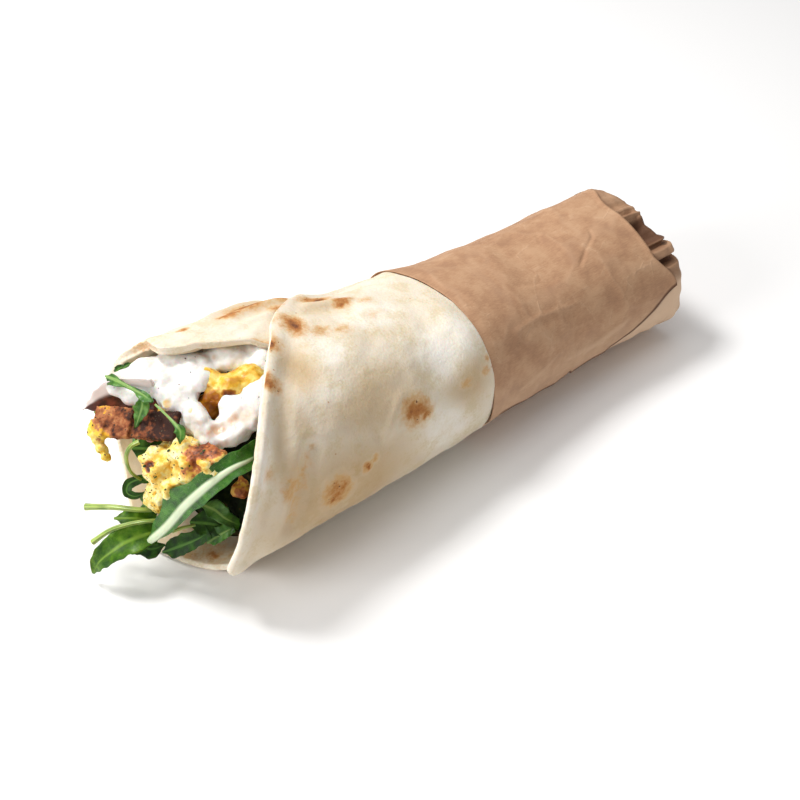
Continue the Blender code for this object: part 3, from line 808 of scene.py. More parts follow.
def through(route: Sequence[Point], share: float) -> tuple[Vector, Vector]:
    """A smooth curve through some points.

    Args:
        route: the points.
        share: how far along, 0 to 1.

    Returns:
        The place and the direction there.
    """
    points = [Vector(p) for p in route]
    points = [points[0] * 2.0 - points[1]] + points + [points[-1] * 2.0 - points[-2]]
    place = share * (len(route) - 1)
    k = min(int(place), len(route) - 2)
    t = place - k
    a, b, c, d = points[k : k + 4]
    bend = 2 * a - 5 * b + 4 * c - d
    twist = 3 * b - a - 3 * c + d
    spot = 0.5 * (2 * b + (c - a) * t + bend * t**2 + twist * t**3)
    way = (c - a) + bend * 2 * t + twist * 3 * t**2
    return spot, way.normalized()


@dataclass(frozen=True)
class Stain:
    """A patch of one painted value on a lumpy piece."""

    centre: Point
    reach: float
    strength: float = 1.0

    def at(self, spot: Vector) -> float:
        """How strongly it is painted at a place."""
        return self.strength * smooth(self.reach, 0.35 * self.reach, (spot - Vector(self.centre)).length)


# The roll


@dataclass(frozen=True)
class Roll:
    """The rolled shape that the bread and the paper share. Angle 0 is its far side and 90 its top.

    It tapers from its mouth to where the taper ends, and its open half leans towards the near side. Its
    outline is a squarish ellipse, flat where it sags on its underside.
    """

    mouth_width: float = 81.4
    mouth_height: float = 69.6
    tail_width: float = 63.7
    tail_height: float = 50.0
    mouth_x: float = -100.0
    taper_end_x: float = 60.0
    side_lean: float = -4.0
    lean_from_x: float = 70.0
    lean_to_x: float = -30.0
    squareness: float = 2.3
    sag: float = 2.5
    axis_share: float = 0.44

    def point(self, x: float, angle: float, grow: float = 0.0) -> Vector:
        """A point on the roll.

        Args:
            x: the place along the roll.
            angle: the angle round it.
            grow: how far outside the plain roll the point lies.

        Returns:
            The point, never below the ground.
        """
        open_share = smooth(self.taper_end_x, self.mouth_x, x)
        width = self.tail_width + (self.mouth_width - self.tail_width) * open_share
        height = self.tail_height + (self.mouth_height - self.tail_height) * open_share
        lean = self.side_lean * smooth(self.lean_from_x, self.lean_to_x, x)
        a = math.radians(angle)
        side = math.copysign(abs(math.cos(a)) ** (2.0 / self.squareness), math.cos(a))
        rise = math.copysign(abs(math.sin(a)) ** (2.0 / self.squareness), math.sin(a))
        y = lean + (width / 2.0 + grow) * side
        z = (height - self.sag) / 2.0 + ((height + self.sag) / 2.0 + grow) * rise
        return Vector((x, y, max(z, -grow, 0.0)))

    def above_foot(self, angle: float) -> float:
        """0 where the roll lies on its underside, 1 from its lower corners upwards."""
        return smooth(-0.9, -0.5, math.sin(math.radians(angle)))


@dataclass(frozen=True)
class Swell:
    """A fold, dent or toasted place on the roll."""

    x: float
    angle: float
    along: float
    round_it: float
    strength: float

    def at(self, x: float, angle: float) -> float:
        """Its strength at a place along the roll and an angle round it, 0 beyond its reach."""
        away = math.hypot(turned(angle, self.angle) / self.round_it, (x - self.x) / self.along)
        return self.strength * smooth(1.0, 0.0, away) if away < 1.0 else 0.0


def swells(*rows: tuple[float, ...]) -> tuple[Swell, ...]:
    """Swells from rows of an x, an angle, the reach along and round the roll, and a strength."""
    return tuple(Swell(*row) for row in rows)


@dataclass(frozen=True)
class Crease:
    """A fold line on the roll: a ridge, and a valley beside it.

    The route's places are each an x and an angle, and widths are in millimetres. The valley is on the
    side of greater x where the angle grows along the route. The line runs out past its two ends by a
    share of its first and last stretch.
    """

    route: tuple[tuple[float, float], ...]
    width: float
    ridge: float
    valley: float = 0.0
    crisp: bool = True
    mm_per_degree: float = 0.6
    run_out: float = 0.3

    def profile(self, aside: float, centre: float, width: float) -> float:
        """1 on a line beside the route, falling to 0: straight for a crisp crease, else softly."""
        straight = max(0.0, 1.0 - abs(aside - centre) / width)
        return straight**1.4 if self.crisp else bump(aside, centre, width)

    def at(self, x: float, angle: float) -> float:
        """The height that it adds at a place.

        Args:
            x: the place along the roll.
            angle: the angle round it.

        Returns:
            The height of the nearest stretch there, in millimetres.
        """
        best, height = 3.0 * self.width, 0.0
        last = len(self.route) - 2
        out = self.run_out
        for k in range(last + 1):
            (x_a, angle_a), (x_b, angle_b) = self.route[k], self.route[k + 1]
            way = (x_b - x_a, (angle_b - angle_a) * self.mm_per_degree)
            spot = (x - x_a, turned(angle, angle_a) * self.mm_per_degree)
            length = math.hypot(*way)
            along = (spot[0] * way[0] + spot[1] * way[1]) / length**2
            if not -out < along < 1.0 + out:
                continue
            aside = (spot[0] * way[1] - spot[1] * way[0]) / length
            fade = smooth(-out, 0.4, along) if k == 0 else 1.0
            fade *= smooth(1.0 + out, 0.6, along) if k == last else 1.0
            if abs(aside) < best and (0.0 <= along <= 1.0 or k in (0, last)):
                best = abs(aside)
                height = self.ridge * self.profile(aside, 0.0, self.width) * fade
                height -= self.valley * self.profile(aside, 1.2 * self.width, 1.5 * self.width) * fade
        return height


# What is on the bread; every place was chosen one by one

BREAD_FOLDS = swells(
    (-4, 133, 13, 46, 2.6), (4, 165, 9, 26, 0.8), (-21, 146, 11, 34, -1.2), (-40, 138, 22, 30, -1.0),
    (-56, 89, 11, 16, 1.0), (-67, 112, 11, 24, -1.6), (-25, 50, 28, 36, -3.2), (-48, 108, 14, 14, 0.6),
    (-40, 88, 10, 12, -0.8), (-58, 52, 28, 26, 2.4), (-86, 60, 22, 28, 2.4), (-60, 176, 14, 18, 0.7),
    (-88, 205, 16, 20, 0.6), (-30, 10, 22, 34, 1.2), (-62, -12, 16, 26, -1.2), (-14, -22, 12, 30, 1.0),
)

BREAD_CREASES = (
    Crease(((-78, 146), (-82, 156), (-86, 167), (-89, 177), (-93, 190)), 4.2, 0.6, 2.3, False),
    Crease(((-70, 150), (-73, 162), (-76, 176)), 4.4, 0.3, 0.45, False),
    Crease(((-37, 149), (-46, 165), (-50, 171)), 3.4, 0.6, 0.5, False),
    Crease(((-23, 160), (-31, 171)), 3.0, 0.5, 0.4, False),
    Crease(((-54, 158), (-52, 170), (-50, 182)), 1.8, 0.35, 0.5, False),
    Crease(((-60, 160), (-61, 174)), 2.0, 0.35, 0.4, False),
    Crease(((-28, 83), (-34, 80), (-40, 79), (-46, 76)), 2.4, 1.0, 1.0, False),
    Crease(((-44, 58), (-58, 62), (-70, 66)), 2.2, 0.8, 0.8, False),
    Crease(((-50, 45), (-62, 49), (-76, 56)), 2.4, 0.9, 0.7, False),
    Crease(((-60, 72), (-70, 76), (-78, 79)), 1.6, 0.5, 0.5, False),
    Crease(((-66, 212), (-78, 200)), 2.4, 0.5, 0.3, False),
    Crease(((-96, 76), (-91, 80), (-86, 80)), 1.5, 0.7, 1.3, False),
    Crease(((-100, 60), (-92, 64), (-84, 70)), 2.0, 0.6, 0.5, False),
    Crease(((-20, 30), (-34, 16), (-52, 12)), 2.4, 0.8, 0.8, False),
    Crease(((-70, 24), (-84, 2)), 2.2, 0.7, 0.6, False),
    Crease(((-10, -18), (-30, -30)), 2.2, 0.7, 0.6, False),
)

TOASTED = swells(
    (-56, 89, 9.5, 14, 0.72), (-56, 90, 5, 8, 0.98), (-50, 96, 10, 9, 0.50), (-42, 99, 9, 9, 0.46),
    (-68, 95, 7, 11, 0.62), (-69, 95, 4, 6, 0.9), (-78, 116, 7, 12, 0.66), (-79, 115, 4, 6, 0.92),
    (-92, 157, 7, 14, 0.40), (-86, 170, 9, 16, 0.48), (-69, 184, 12, 18, 0.66), (-67, 183, 4, 6, 0.84),
    (-71, 188, 3, 5, 0.84), (-57, 178, 4, 6, 0.64), (-56, 179, 2.2, 4, 0.9), (-53, 176, 3, 5, 0.62),
    (-33, 161, 13, 20, 0.72), (-35, 159, 7, 10, 0.62), (-30, 166, 3.2, 5, 0.8), (-94, 60, 8, 4, 0.8),
    (-87, 63, 7, 3, 0.75), (-90, 79, 5, 3, 0.5), (-39, 72, 13, 10, 0.72), (-38, 74, 7, 5, 0.98),
    (-32, 82, 9, 8, 0.72), (-33, 83, 4, 4, 0.9), (-25, 86, 9, 8, 0.40), (-27, 96, 9, 9, 0.34),
    (-46, 54, 15, 13, 0.9), (-60, 58, 16, 12, 0.85), (-68, 62, 10, 9, 0.85), (-52, 68, 9, 9, 0.6),
    (-63, 57, 5, 6, 0.95), (-9, 159, 7, 10, 0.38), (0, 156, 5, 12, 0.42), (2, 150, 3, 8, 0.5),
    # The faint wide swells from (-70, 118) to (-74, 200) are mostly painted shade, in the valleys by the
    # lip and over the shaded near side; the rest are toasted spots.
    (-70, 118, 9, 22, 0.24), (-83, 166, 8, 30, 0.26), (-40, 150, 30, 34, 0.16),
    (-74, 200, 30, 24, 0.18), (-104, 246, 9, 14, 0.62), (-110, 252, 5, 10, 0.6), (-44, 20, 13, 18, 0.8),
    (-70, 5, 10, 14, 0.7), (-24, -15, 11, 16, 0.75), (-60, -32, 12, 15, 0.6), (-88, -20, 9, 12, 0.65),
    (-14, 30, 8, 12, 0.55), (-90, -75, 10, 15, 0.55), (-60, -95, 13, 18, 0.6),
    (-25, -110, 12, 15, 0.65),
)

TOASTED_INSIDE = swells(
    (-104, 255, 26, 60, 0.36), (-104, 248, 7, 10, 0.62), (-110, 256, 6, 8, 0.55),
    (-112, 264, 4, 8, 0.5), (-100, 240, 5, 7, 0.5), (-96, 258, 7, 9, 0.45), (-108, 300, 9, 14, 0.4),
    (-96, 330, 9, 14, 0.4),
)

# Painted shade: warmer, duller crust over the shaded near side, the valleys and the dip under the top bump.
PAINTED_SHADE_PATCHES = swells(
    (-66, 190, 50, 48, 1.15), (-84, 172, 13, 42, 0.95), (-40, 188, 26, 30, 0.55),
    (-48, 146, 34, 36, 0.72), (-66, 112, 11, 26, 0.9), (-76, 140, 8, 20, 0.5), (-38, 104, 22, 20, 0.25),
    (-40, 78, 18, 16, 0.5), (-54, 56, 26, 20, 0.8), (-8, 158, 16, 30, 0.9), (-90, 240, 30, 40, 0.6),
    (-40, 16, 40, 40, 0.7), (-70, -30, 40, 40, 0.6), (-20, -60, 40, 50, 0.6), (-60, 270, 40, 40, 0.6),
)

# Painted highlights: paler crust on the bulge by the paper, along the lip and on other places that face the
# light.
PAINTED_HIGHLIGHTS = swells(
    (-14, 137, 14, 26, 1.0), (-4, 128, 10, 22, 0.9), (-22, 182, 20, 20, 0.6), (-93, 150, 7, 40, 0.6),
    (-52, 108, 12, 14, 0.6), (-30, 98, 18, 12, 0.5), (-60, 130, 12, 12, 0.4),
)


@dataclass
class Flatbread:
    """The rolled disc of bread, one sheet with its near flap lying over the far one.

    The sheet runs in falling angles, from its inner edge through the far side, the underside and the near
    side to its outer edge. So an angle above 0 is its far flap, and one below -250 its near flap.
    """

    roll: Roll
    disc_radius: float = 163.0
    disc_tip_x: float = -118.0
    arc_per_degree: float = 0.668
    thickness: float = 2.2
    layer_gap: float = 0.8
    inner_edge: float = 108.0
    outer_edge: float = -324.0
    rear_x: float = 90.0
    rim_flare: float = 1.3
    folded_rim: float = 1.2
    rim_groove: float = 1.6
    rim_bulge: float = 0.9
    foot_notch: float = 13.0
    foot_notch_angle: float = 226.0
    far_notch: float = 5.0
    far_rim_x: float = -106.0
    far_rim_slant: float = 8.0
    flap_slant: float = 40.0
    bead: float = 1.4
    bead_angle: float = -205.0
    bead_reach: float = 75.0
    thin_edge: float = 1.3
    paper_room: float = 1.9
    tuck_length: float = 1.4
    columns: int = 300
    mouth_rows: int = 96
    blister_radius: float = 36.0
    blister_sizes: tuple[tuple[float, float], ...] = ((0.45, 15.0), (0.16, 4.5))
    rim_rounding: tuple[float, ...] = (25.0, 50.0, 75.0, 90.0, 105.0, 130.0, 155.0)

    def front(self, angle: float) -> float:
        """Where the sheet's edge comes to along the roll.

        It is the disc's round edge, drawn in at the near lower corner and low on the far side, and cut
        back over the top of the far flap.

        Args:
            angle: the angle round the roll.

        Returns:
            The edge's x.
        """
        arc = min(self.disc_radius - 1.0, self.arc_per_degree * abs(angle + 90.0))
        edge = self.disc_tip_x + self.disc_radius - math.sqrt(self.disc_radius**2 - arc**2)
        if angle > 0.0:
            far_rim = self.far_rim_x + self.far_rim_slant * smooth(15.0, 58.0, angle)
            edge = min(edge, far_rim + self.flap_slant * smooth(70.0, 102.0, angle))
        from_corner = turned(angle, self.foot_notch_angle)
        reach = 56.0 if from_corner > 0.0 else 30.0
        coarse, fine = Vector((angle / 9.0, 4.0, 0.0)), Vector((angle / 3.0, 9.0, 0.0))
        ragged = 0.5 * noise.noise(coarse) + 0.25 * noise.noise(fine)
        far_notch = self.far_notch * bump(turned(angle, -35.0), 0.0, 55.0)
        return edge + self.foot_notch * bump(from_corner, 0.0, reach) + far_notch + ragged

    def blisters(self, x: float, angle: float) -> float:
        """The fine rise and fall of the baked surface."""
        spot = on_drum(x, angle, self.blister_radius)
        return sum(height * rough(spot, size) for height, size in self.blister_sizes)

    def lift(self, x: float, angle: float, front: float) -> float:
        """How far folds, blisters and the bead behind its rim lift the bread off the plain roll.

        Args:
            x: the place along the roll.
            angle: the angle round it.
            front: the x of the sheet's edge at that angle.

        Returns:
            The height.
        """
        behind = x - front
        rim = self.bead * (bump(behind, 1.6, 4.0) - 0.9 * bump(behind, 9.0, 6.0))
        folds = sum(fold.at(x, angle) for fold in BREAD_FOLDS)
        folds += sum(crease.at(x, angle) for crease in BREAD_CREASES)
        return rim * bump(angle, self.bead_angle, self.bead_reach) + folds + self.blisters(x, angle)

    def crust(self, x: float, angle: float, front: float) -> tuple[float, float]:
        """How the bread is baked at a place.

        It is brown in its toasted spots and along its far rim and crest. Its valleys are browned too, as
        painted shade, and painted shade warms and dulls its shaded sides and the crust behind the bead of
        the rim.

        Args:
            x: the place along the roll.
            angle: the angle round it.
            front: the x of the sheet's edge at that angle.

        Returns:
            How brown it is, 0 to 1, and how much tanning and painted shade it has, up to 1, or below 0 a
            painted highlight.
        """
        behind = x - front
        brown = max(spot.at(x, angle) for spot in TOASTED)
        # Painted shade: the crease valleys are browned.
        brown = max(brown, 0.15 * max(0.0, -sum(crease.at(x, angle) for crease in BREAD_CREASES)))
        far_rim = 0.55 * bump(angle, 52.0, 26.0) * bump(behind, 3.5, 4.0)
        far_crest = 0.35 * bump(turned(angle, 58.0), 0.0, 22.0) * bump(x, -55.0, 26.0)
        patchy = noise.noise(Vector((angle / 7.0, 1.0, 2.0))) + 0.5
        edge = 0.25 * smooth(2.2, 0.0, behind) * smooth(0.35, 0.65, patchy)
        # Painted shade: broad patches over the shaded sides and a band behind the bead of the rim; painted
        # highlights are taken off below.
        broad = max(patch.at(x, angle) for patch in PAINTED_SHADE_PATCHES)
        shade_behind_bead = 0.55 * bump(behind, 10.0, 7.0) * bump(angle, self.bead_angle, self.bead_reach)
        tan = min(1.0, max(broad, shade_behind_bead) * smooth(1.5, 5.0, behind) + 0.12)
        tan -= max(lit_patch.at(x, angle) for lit_patch in PAINTED_HIGHLIGHTS)
        return min(1.0, max(brown, far_rim, far_crest) + edge), tan

    def inner_toast(self, x: float, angle: float) -> float:
        """How brown the inner face is at a place; its crust shows at the foot of the mouth."""
        return max(spot.at(x, angle) for spot in TOASTED_INSIDE)

    def layers(self, x: float, angle: float, front: float, sleeve: float) -> tuple[float, float]:
        """How far out the sheet's two faces lie.

        Args:
            x: the place along the roll.
            angle: the angle round it.
            front: where the bread starts at that angle.
            sleeve: where the paper starts at that angle.

        Returns:
            The growth of the outer face and of the inner one.
        """
        under = smooth(-25.0, 42.0, angle) * (self.thickness + self.layer_gap)
        covered = self.front(angle - 360.0) if angle > 0.0 else x
        under *= 1.0 - 0.7 * smooth(covered - 1.5, covered - 7.0, x)
        tucked = smooth(sleeve - 0.2, sleeve + self.tuck_length, x)
        at_corner = bump(turned(angle, 228.0), 0.0, 26.0)
        flare = self.rim_flare * smooth(front + 9.0, front, x) * (1.0 - at_corner)
        raised = self.roll.above_foot(angle)
        top = (self.lift(x, angle, front) + flare) * raised * (1.0 - tucked)
        top -= under + tucked * self.paper_room * (0.45 + 0.55 * raised)
        thinned = self.thin_edge * smooth(self.outer_edge + 16.0, self.outer_edge, angle)
        doubled = self.folded_rim * bump(angle, 52.0, 40.0) * smooth(front + 13.0, front + 7.0, x)
        top -= thinned
        return top, top - self.thickness + thinned - doubled

    def stations(self, front: float, sleeve: float) -> list[float]:
        """Places along the sheet at one angle, closer together where more shows.

        Args:
            front: where the bread starts at that angle.
            sleeve: where the paper starts at that angle.

        Returns:
            Their x, from its rim to its hidden rear.
        """
        edge = max(front + 8.0, sleeve - 3.0)
        last = self.mouth_rows
        at_mouth = [front + (edge - front) * (k / last) ** 1.12 for k in range(last + 1)]
        at_paper = [edge + step for step in (0.6, 1.2, 1.8, 2.4, 3.0, 3.6, 4.4, 5.5)]
        hidden = [edge + 5.5 + (self.rear_x - edge - 5.5) * s for s in (0.25, 0.5, 0.75, 1.0)]
        return at_mouth + at_paper + hidden

    def build(self, sleeve_front: Callable[[float], float]) -> Object:
        """Makes the sheet.

        Args:
            sleeve_front: gives the paper's front edge at an angle.

        Returns:
            The bread.
        """
        shell = Shell("bread_sheet", ("toast", "tan"))
        step = (self.outer_edge - self.inner_edge) / self.columns
        angles = [self.inner_edge + step * k for k in range(self.columns + 1)]
        fronts = [self.front(a) for a in angles]
        sleeves = [sleeve_front(a) for a in angles]
        places = list(zip(*[self.stations(f, s) for f, s in zip(fronts, sleeves)]))
        tops, backs = [], []
        for row in places:
            grown = [self.layers(x, a, f, s) for x, a, f, s in zip(row, angles, fronts, sleeves)]
            toast, tan = zip(*[self.crust(x, a, f) for x, a, f in zip(row, angles, fronts)])
            top = [self.roll.point(x, a, g[0]) for x, a, g in zip(row, angles, grown)]
            back = [self.roll.point(x, a, g[1]) for x, a, g in zip(row, angles, grown)]
            tops.append(shell.row(top, toast=toast, tan=tan))
            inner_toast = [self.inner_toast(x, a) for x, a in zip(row, angles)]
            # Painted shade over the inner face, with less of it at the floor of the mouth, which is painted
            # lighter.
            inner_tan = [0.55 - 0.4 * bump(turned(a, 262.0), 0.0, 50.0) for a in angles]
            backs.append(shell.row(back, toast=inner_toast, tan=inner_tan))
        rim = self.rim(shell, tops[0], backs[0], angles)
        for first, second in zip([tops[0]] + rim, rim + [backs[0]]):
            shell.strip(second, first)
        for k in range(len(tops) - 1):
            shell.strip(tops[k], tops[k + 1])
            shell.strip(backs[k + 1], backs[k])
        shell.strip(tops[-1], backs[-1])
        for end in (0, -1):
            shell.strip([row[end] for row in tops], [row[end] for row in backs])
            shell.faces.append(tuple([tops[0][end]] + [row[end] for row in rim] + [backs[0][end]]))
        return dressed(shell.made(), BREAD_FINISH, "flatbread")

    def rim(self, shell: Shell, top: Row, back: Row, angles: list[float]) -> list[Row]:
        """Rounds the front edge, with a groove between two layers over the far side of the mouth.

        Args:
            shell: the sheet so far.
            top: the outer face's front row.
            back: the inner face's front row.
            angles: the angle of each column.

        Returns:
            The rows between the two faces.
        """
        rows = []
        for turn in self.rim_rounding:
            across, forward = math.cos(math.radians(turn)), math.sin(math.radians(turn))
            ring, toast = [], []
            for first, second, angle in zip(top, back, angles):
                a, b = shell.points[first], shell.points[second]
                middle, half = (a + b) / 2.0, (a - b) / 2.0
                groove = self.rim_groove * bump(angle, 54.0, 34.0)
                groove *= smooth(38.0, 85.0, turn) * smooth(142.0, 95.0, turn)
                spot = middle + half * across - Vector((self.rim_bulge * forward - groove, 0.0, 0.0))
                ring.append(spot)
                toast.append(0.45 * bump(angle, 54.0, 30.0) + 0.2 * max(0.0, noise.noise(spot / 3.0)))
            rows.append(shell.row(ring, toast=toast))
        return rows


PAPER_CREASES = (
    Crease(((77, 98), (75, 105), (68, 112), (61, 121)), 1.5, -0.50, 0.0, False),
    Crease(((79, 97), (77, 105), (70, 112)), 1.2, 0.16, 0.0, False),
    Crease(((36, 74), (32, 91)), 1.0, 0.14),
    Crease(((21, 80), (25, 95)), 1.0, 0.14),
    Crease(((23, 84), (27, 90), (34, 88)), 1.0, 0.12),
    Crease(((59, 86), (56, 93)), 1.2, -0.22, 0.0, False),
    Crease(((48, 147), (42, 168)), 1.1, 0.16),
    Crease(((52, 150), (47, 160), (47, 172)), 1.1, 0.12),
    Crease(((77, 149), (71, 163)), 1.1, 0.12),
    Crease(((84, 140), (80, 152)), 1.1, 0.10),
    Crease(((61, 152), (55, 163)), 1.1, 0.12),
    Crease(((52, 146), (41, 143), (31, 141), (18, 143)), 2.6, 0.30, 0.25, False),
    Crease(((22, 142), (16, 154), (6, 160)), 2.0, 0.22, 0.2, False),
    Crease(((40, 182), (58, 184), (78, 178)), 3.0, 0.5, 0.35, False),
    Crease(((14, 186), (28, 180), (44, 172)), 2.4, 0.35, 0.3, False),
    Crease(((41, 64), (58, 48)), 1.4, -0.4, 0.0, False),
    Crease(((7, 97), (8, 120)), 2.4, -0.3, 0.0, False),
    Crease(((66, 90), (52, 84), (40, 88)), 1.6, 0.12, 0.0, False),
    Crease(((30, 112), (44, 120), (50, 132)), 1.8, -0.2, 0.0, False),
    Crease(((12, 172), (30, 168), (36, 156)), 1.0, 0.12),
    Crease(((84, 60), (66, 66), (52, 58)), 1.2, 0.2, 0.12),
    Crease(((10, 50), (26, 40), (44, 44)), 1.2, 0.22, 0.2),
    Crease(((30, 20), (48, 8), (70, 14)), 1.2, 0.25, 0.2),
    Crease(((80, 32), (72, 8), (76, -14)), 1.2, -0.25),
    Crease(((8, 12), (18, -8), (34, -16)), 1.1, 0.22, 0.2),
    Crease(((50, -20), (64, -34)), 1.1, 0.2, 0.2),
)


@dataclass(frozen=True)
class Pleat:
    """A fold of the gathered end, sunk between its neighbours.

    Above 1, steep makes the wall on its side of greater angle the steeper one. Pocket is the share of its
    depth that it loses as the end closes, where it is a pocket with a rear wall.
    """

    angle: float
    reach: float
    depth: float
    steep: float = 1.0
    pocket: float = 0.0
    wall_slope: float = 1.8

    def at(self, angle: float) -> float:
        """How deep it is at an angle: level on its floor, and straight up its walls."""
        away = turned(angle, self.angle) / self.reach
        return self.depth * min(1.0, max(0.0, self.wall_slope * (1.0 - max(away * self.steep, -away))))

    def along(self, closing: float) -> float:
        """How much of its depth it has left as the end closes."""
        return 1.0 - self.pocket * smooth(0.2, 0.3, closing)


GATHER = (
    Pleat(118, 18, 9.0, 1.15, 0.66),
    Pleat(134, 4, 4.0, 1.0, 0.3),
    Pleat(151, 6, 5.0, 1.5, 0.4),
    Pleat(103, 3, 2.4, 1.0, 0.6),
    Pleat(97, 2.5, 1.6, 1.0, 0.6),
    Pleat(90, 3, 1.0, 1.0, 0.6),
    Pleat(40, 15, 7.0, 1.3, 0.6),
    Pleat(14, 8, 3.6, 1.7, 0.4),
    Pleat(-14, 14, 7.0, 1.3, 0.6),
    Pleat(-42, 8, 3.4, 1.6, 0.4),
    Pleat(-72, 12, 4.0),
    Pleat(-104, 10, 3.2, 1.6),
    Pleat(-138, 9, 1.4, 1.3),
)


@dataclass
class PaperSleeve:
    """The kraft paper: a tube gathered shut at the rear, and a second layer over its top and near side.

    The free edge of the second layer runs along the near side, and the tube shows below it.
    """

    roll: Roll
    thickness: float = 0.25
    wall: float = 0.6
    step: float = 0.9
    dent: float = 0.7
    front_x: float = 3.6
    far_front: float = 5.0
    foot_front: float = 6.0
    tube_setback: float = 0.8
    free_edge_angle: float = 200.0
    free_edge_rise: float = 32.0
    torn: float = 5.0
    panel_rear_x: float = 93.0
    panel_corner: float = 8.0
    rear_x: float = 107.0
    panel_share: float = 0.58
    columns: int = 330
    rows: int = 120
    gather_rows: int = 62
    pleats: tuple[Pleat, ...] = GATHER
    twist: float = 24.0
    highest: float = 0.75
    lap: float = 0.3
    room_for_panel: float = 0.6
    low_corner_angle: float = 206.0
    low_corner: float = 1.2
    gather_centre: float = 112.0

    def front(self, angle: float) -> float:
        """The front edge's x at an angle, a little further forward over the far side and underneath."""
        far_side = self.far_front * smooth(115.0, 62.0, abs(turned(angle, -5.0)))
        return self.front_x - far_side - self.foot_front * bump(turned(angle, 270.0), 0.0, 75.0)

    def tube_front(self, angle: float) -> float:
        """The tube's own front edge, drawn back under the panel so that one thin edge shows."""
        return self.front(angle) + self.tube_setback * smooth(52.0, 40.0, abs(turned(angle, 101.0)) - 56.0)

    def panel_edge(self, x: float) -> float:
        """The angle of the second layer's free edge, low on the near side and rising towards the rear."""
        sagging = 7.0 * bump(x, 40.0, 30.0) + 8.5 * bump(x, 82.0, 28.0) - self.torn * bump(x, 47.0, 1.8)
        return self.free_edge_angle + sagging - self.free_edge_rise * smooth(54.0, 106.0, x)

    def panel_rear(self, angle: float) -> float:
        """Where the second layer ends towards the gathered end, curving back at both corners."""
        return self.panel_rear_x + self.panel_corner * smooth(22.0, 55.0, abs(turned(angle, 115.0)))

    def pale_face_and_bounce(self, angle: float) -> float:
        """How much lighter the tube is at an angle, low on the near side and underneath: partly its lighter
        face, partly painted light from below.
        """
        return smooth(160.0, 174.0, angle) + smooth(-110.0, -140.0, angle)

    def crumple(self, x: float, angle: float) -> tuple[float, float]:
        """The creased surface.

        Args:
            x: the place along the roll.
            angle: the angle round it.

        Returns:
            The height of the paper and how sharp a crease it is on, 0 to 1.
        """
        soft = self.dent * noise.noise(on_drum(x / 22.0, angle, 1.4))
        spot = on_drum(x, angle, 29.0)
        bent = spot + Vector((rough(spot, 13.0), rough(spot + Vector((40, 0, 0)), 13.0), 0.0)) * 6.0
        near, far = noise.voronoi(Vector((bent.x / 24.0, bent.y / 30.0, bent.z / 30.0)))[0][:2]
        folds = sum(crease.at(x, angle) for crease in PAPER_CREASES)
        edge = smooth(0.09, 0.0, far - near)
        facet = 1.7 * (near - 0.4) + 0.05 * edge
        shoulder = 1.5 * bump(turned(angle, 44.0), 0.0, 30.0)
        high = soft + facet + folds + 0.06 * rough(spot, 5.0) - shoulder
        return high, max(smooth(0.15, 0.45, folds), 0.35 * edge)

    def build(self) -> list[Object]:
        """Makes the tube with its gathered end, and the layer over it."""
        return [self.tube(), self.panel()]

    def tube(self) -> Object:
        """Makes the inner layer, from its open front to the pleats that close it.

        Returns:
            The tube.
        """
        shell = Shell("paper_tube", ("crease", "hollow", "inner"))
        angles = [180.0 - 360.0 * k / self.columns for k in range(self.columns)]
        outside = [self.ring(shell, angles, r / self.rows) for r in range(self.rows + 1)]
        closings = [((r + 1) / self.gather_rows) ** 1.3 for r in range(self.gather_rows)]
        outside += [self.gathered(shell, angles, closing, 0.0) for closing in closings]
        closings = (1.0, 0.8, 0.6, 0.4, 0.2, 0.05)
        inside = [self.gathered(shell, angles, closing, self.wall) for closing in closings]
        inside += [self.inner_ring(shell, angles, share) for share in (1.0, 0.75, 0.5, 0.25, 0.06, 0.0)]
        for rings in (outside, inside):
            for first, second in zip(rings[:-1], rings[1:]):
                shell.strip(first, second, closed=True)
        shell.strip(inside[-1], outside[0], closed=True)
        shell.cap(outside[-1])
        shell.cap(inside[0])
        return dressed(shell.made(), PAPER_FINISH, "paper_sleeve")

    def ring(self, shell: Shell, angles: list[float], share: float) -> Row:
        """One outer ring of the tube, with a painted shadow line where the second layer's free edge lies on
        it.

        Args:
            shell: the tube so far.
            angles: the angle of each column.
            share: 0 at the front edge and 1 where the gathered end starts.

        Returns:
            The ring.
        """
        ring, crease, hollow = [], [], []
        for angle in angles:
            x = self.tube_front(angle)
            x += (self.panel_rear(angle) - x) * share
            high, sharp = self.crumple(x, angle)
            high = min(high, self.highest)
            high += (0.1 - high) * smooth(0.06, 0.0, share)
            edge = self.panel_edge(x)
            below, shaded = turned(angle, edge), 2.6 + 3.4 * smooth(180.0, 205.0, edge)
            corner = bump(turned(angle, self.low_corner_angle), 0.0, 36.0)
            high += self.low_corner * corner * smooth(66.0, 100.0, x)
            high -= self.lap * bump(below, 1.0, 9.0) * smooth(0.0, 0.1, share)
            covered = smooth(-4.0, -12.0, below) * smooth(-8.0, 8.0, angle)
            high -= self.room_for_panel * covered * smooth(0.0, 0.08, share) * smooth(1.0, 0.94, share)
            ring.append(self.roll.point(x, angle, high * self.roll.above_foot(angle)))
            crease.append(sharp)
            # A painted shadow on the tube just below the second layer's free edge.
            hollow.append(smooth(shaded + 2.4, shaded, below) * smooth(-3.0, 0.0, below))
        return shell.row(ring, crease=crease, hollow=hollow, inner=[self.pale_face_and_bounce(a) for a in angles])

    def inner_ring(self, shell: Shell, angles: list[float], share: float) -> Row:
        """One ring of the tube's inner face.

        Args:
            shell: the tube so far.
            angles: the angle of each column.
            share: 0 at the front edge and 1 where the gathered end starts.

        Returns:
            The ring.
        """
        ring = []
        for angle in angles:
            x = self.tube_front(angle)
            x += (self.panel_rear(angle) - x) * share
            high = min(self.crumple(x, angle)[0] * smooth(0.2, 0.0, share), self.highest)
            ring.append(self.roll.point(x, angle, high * self.roll.above_foot(angle) - self.wall))
        return shell.row(ring)

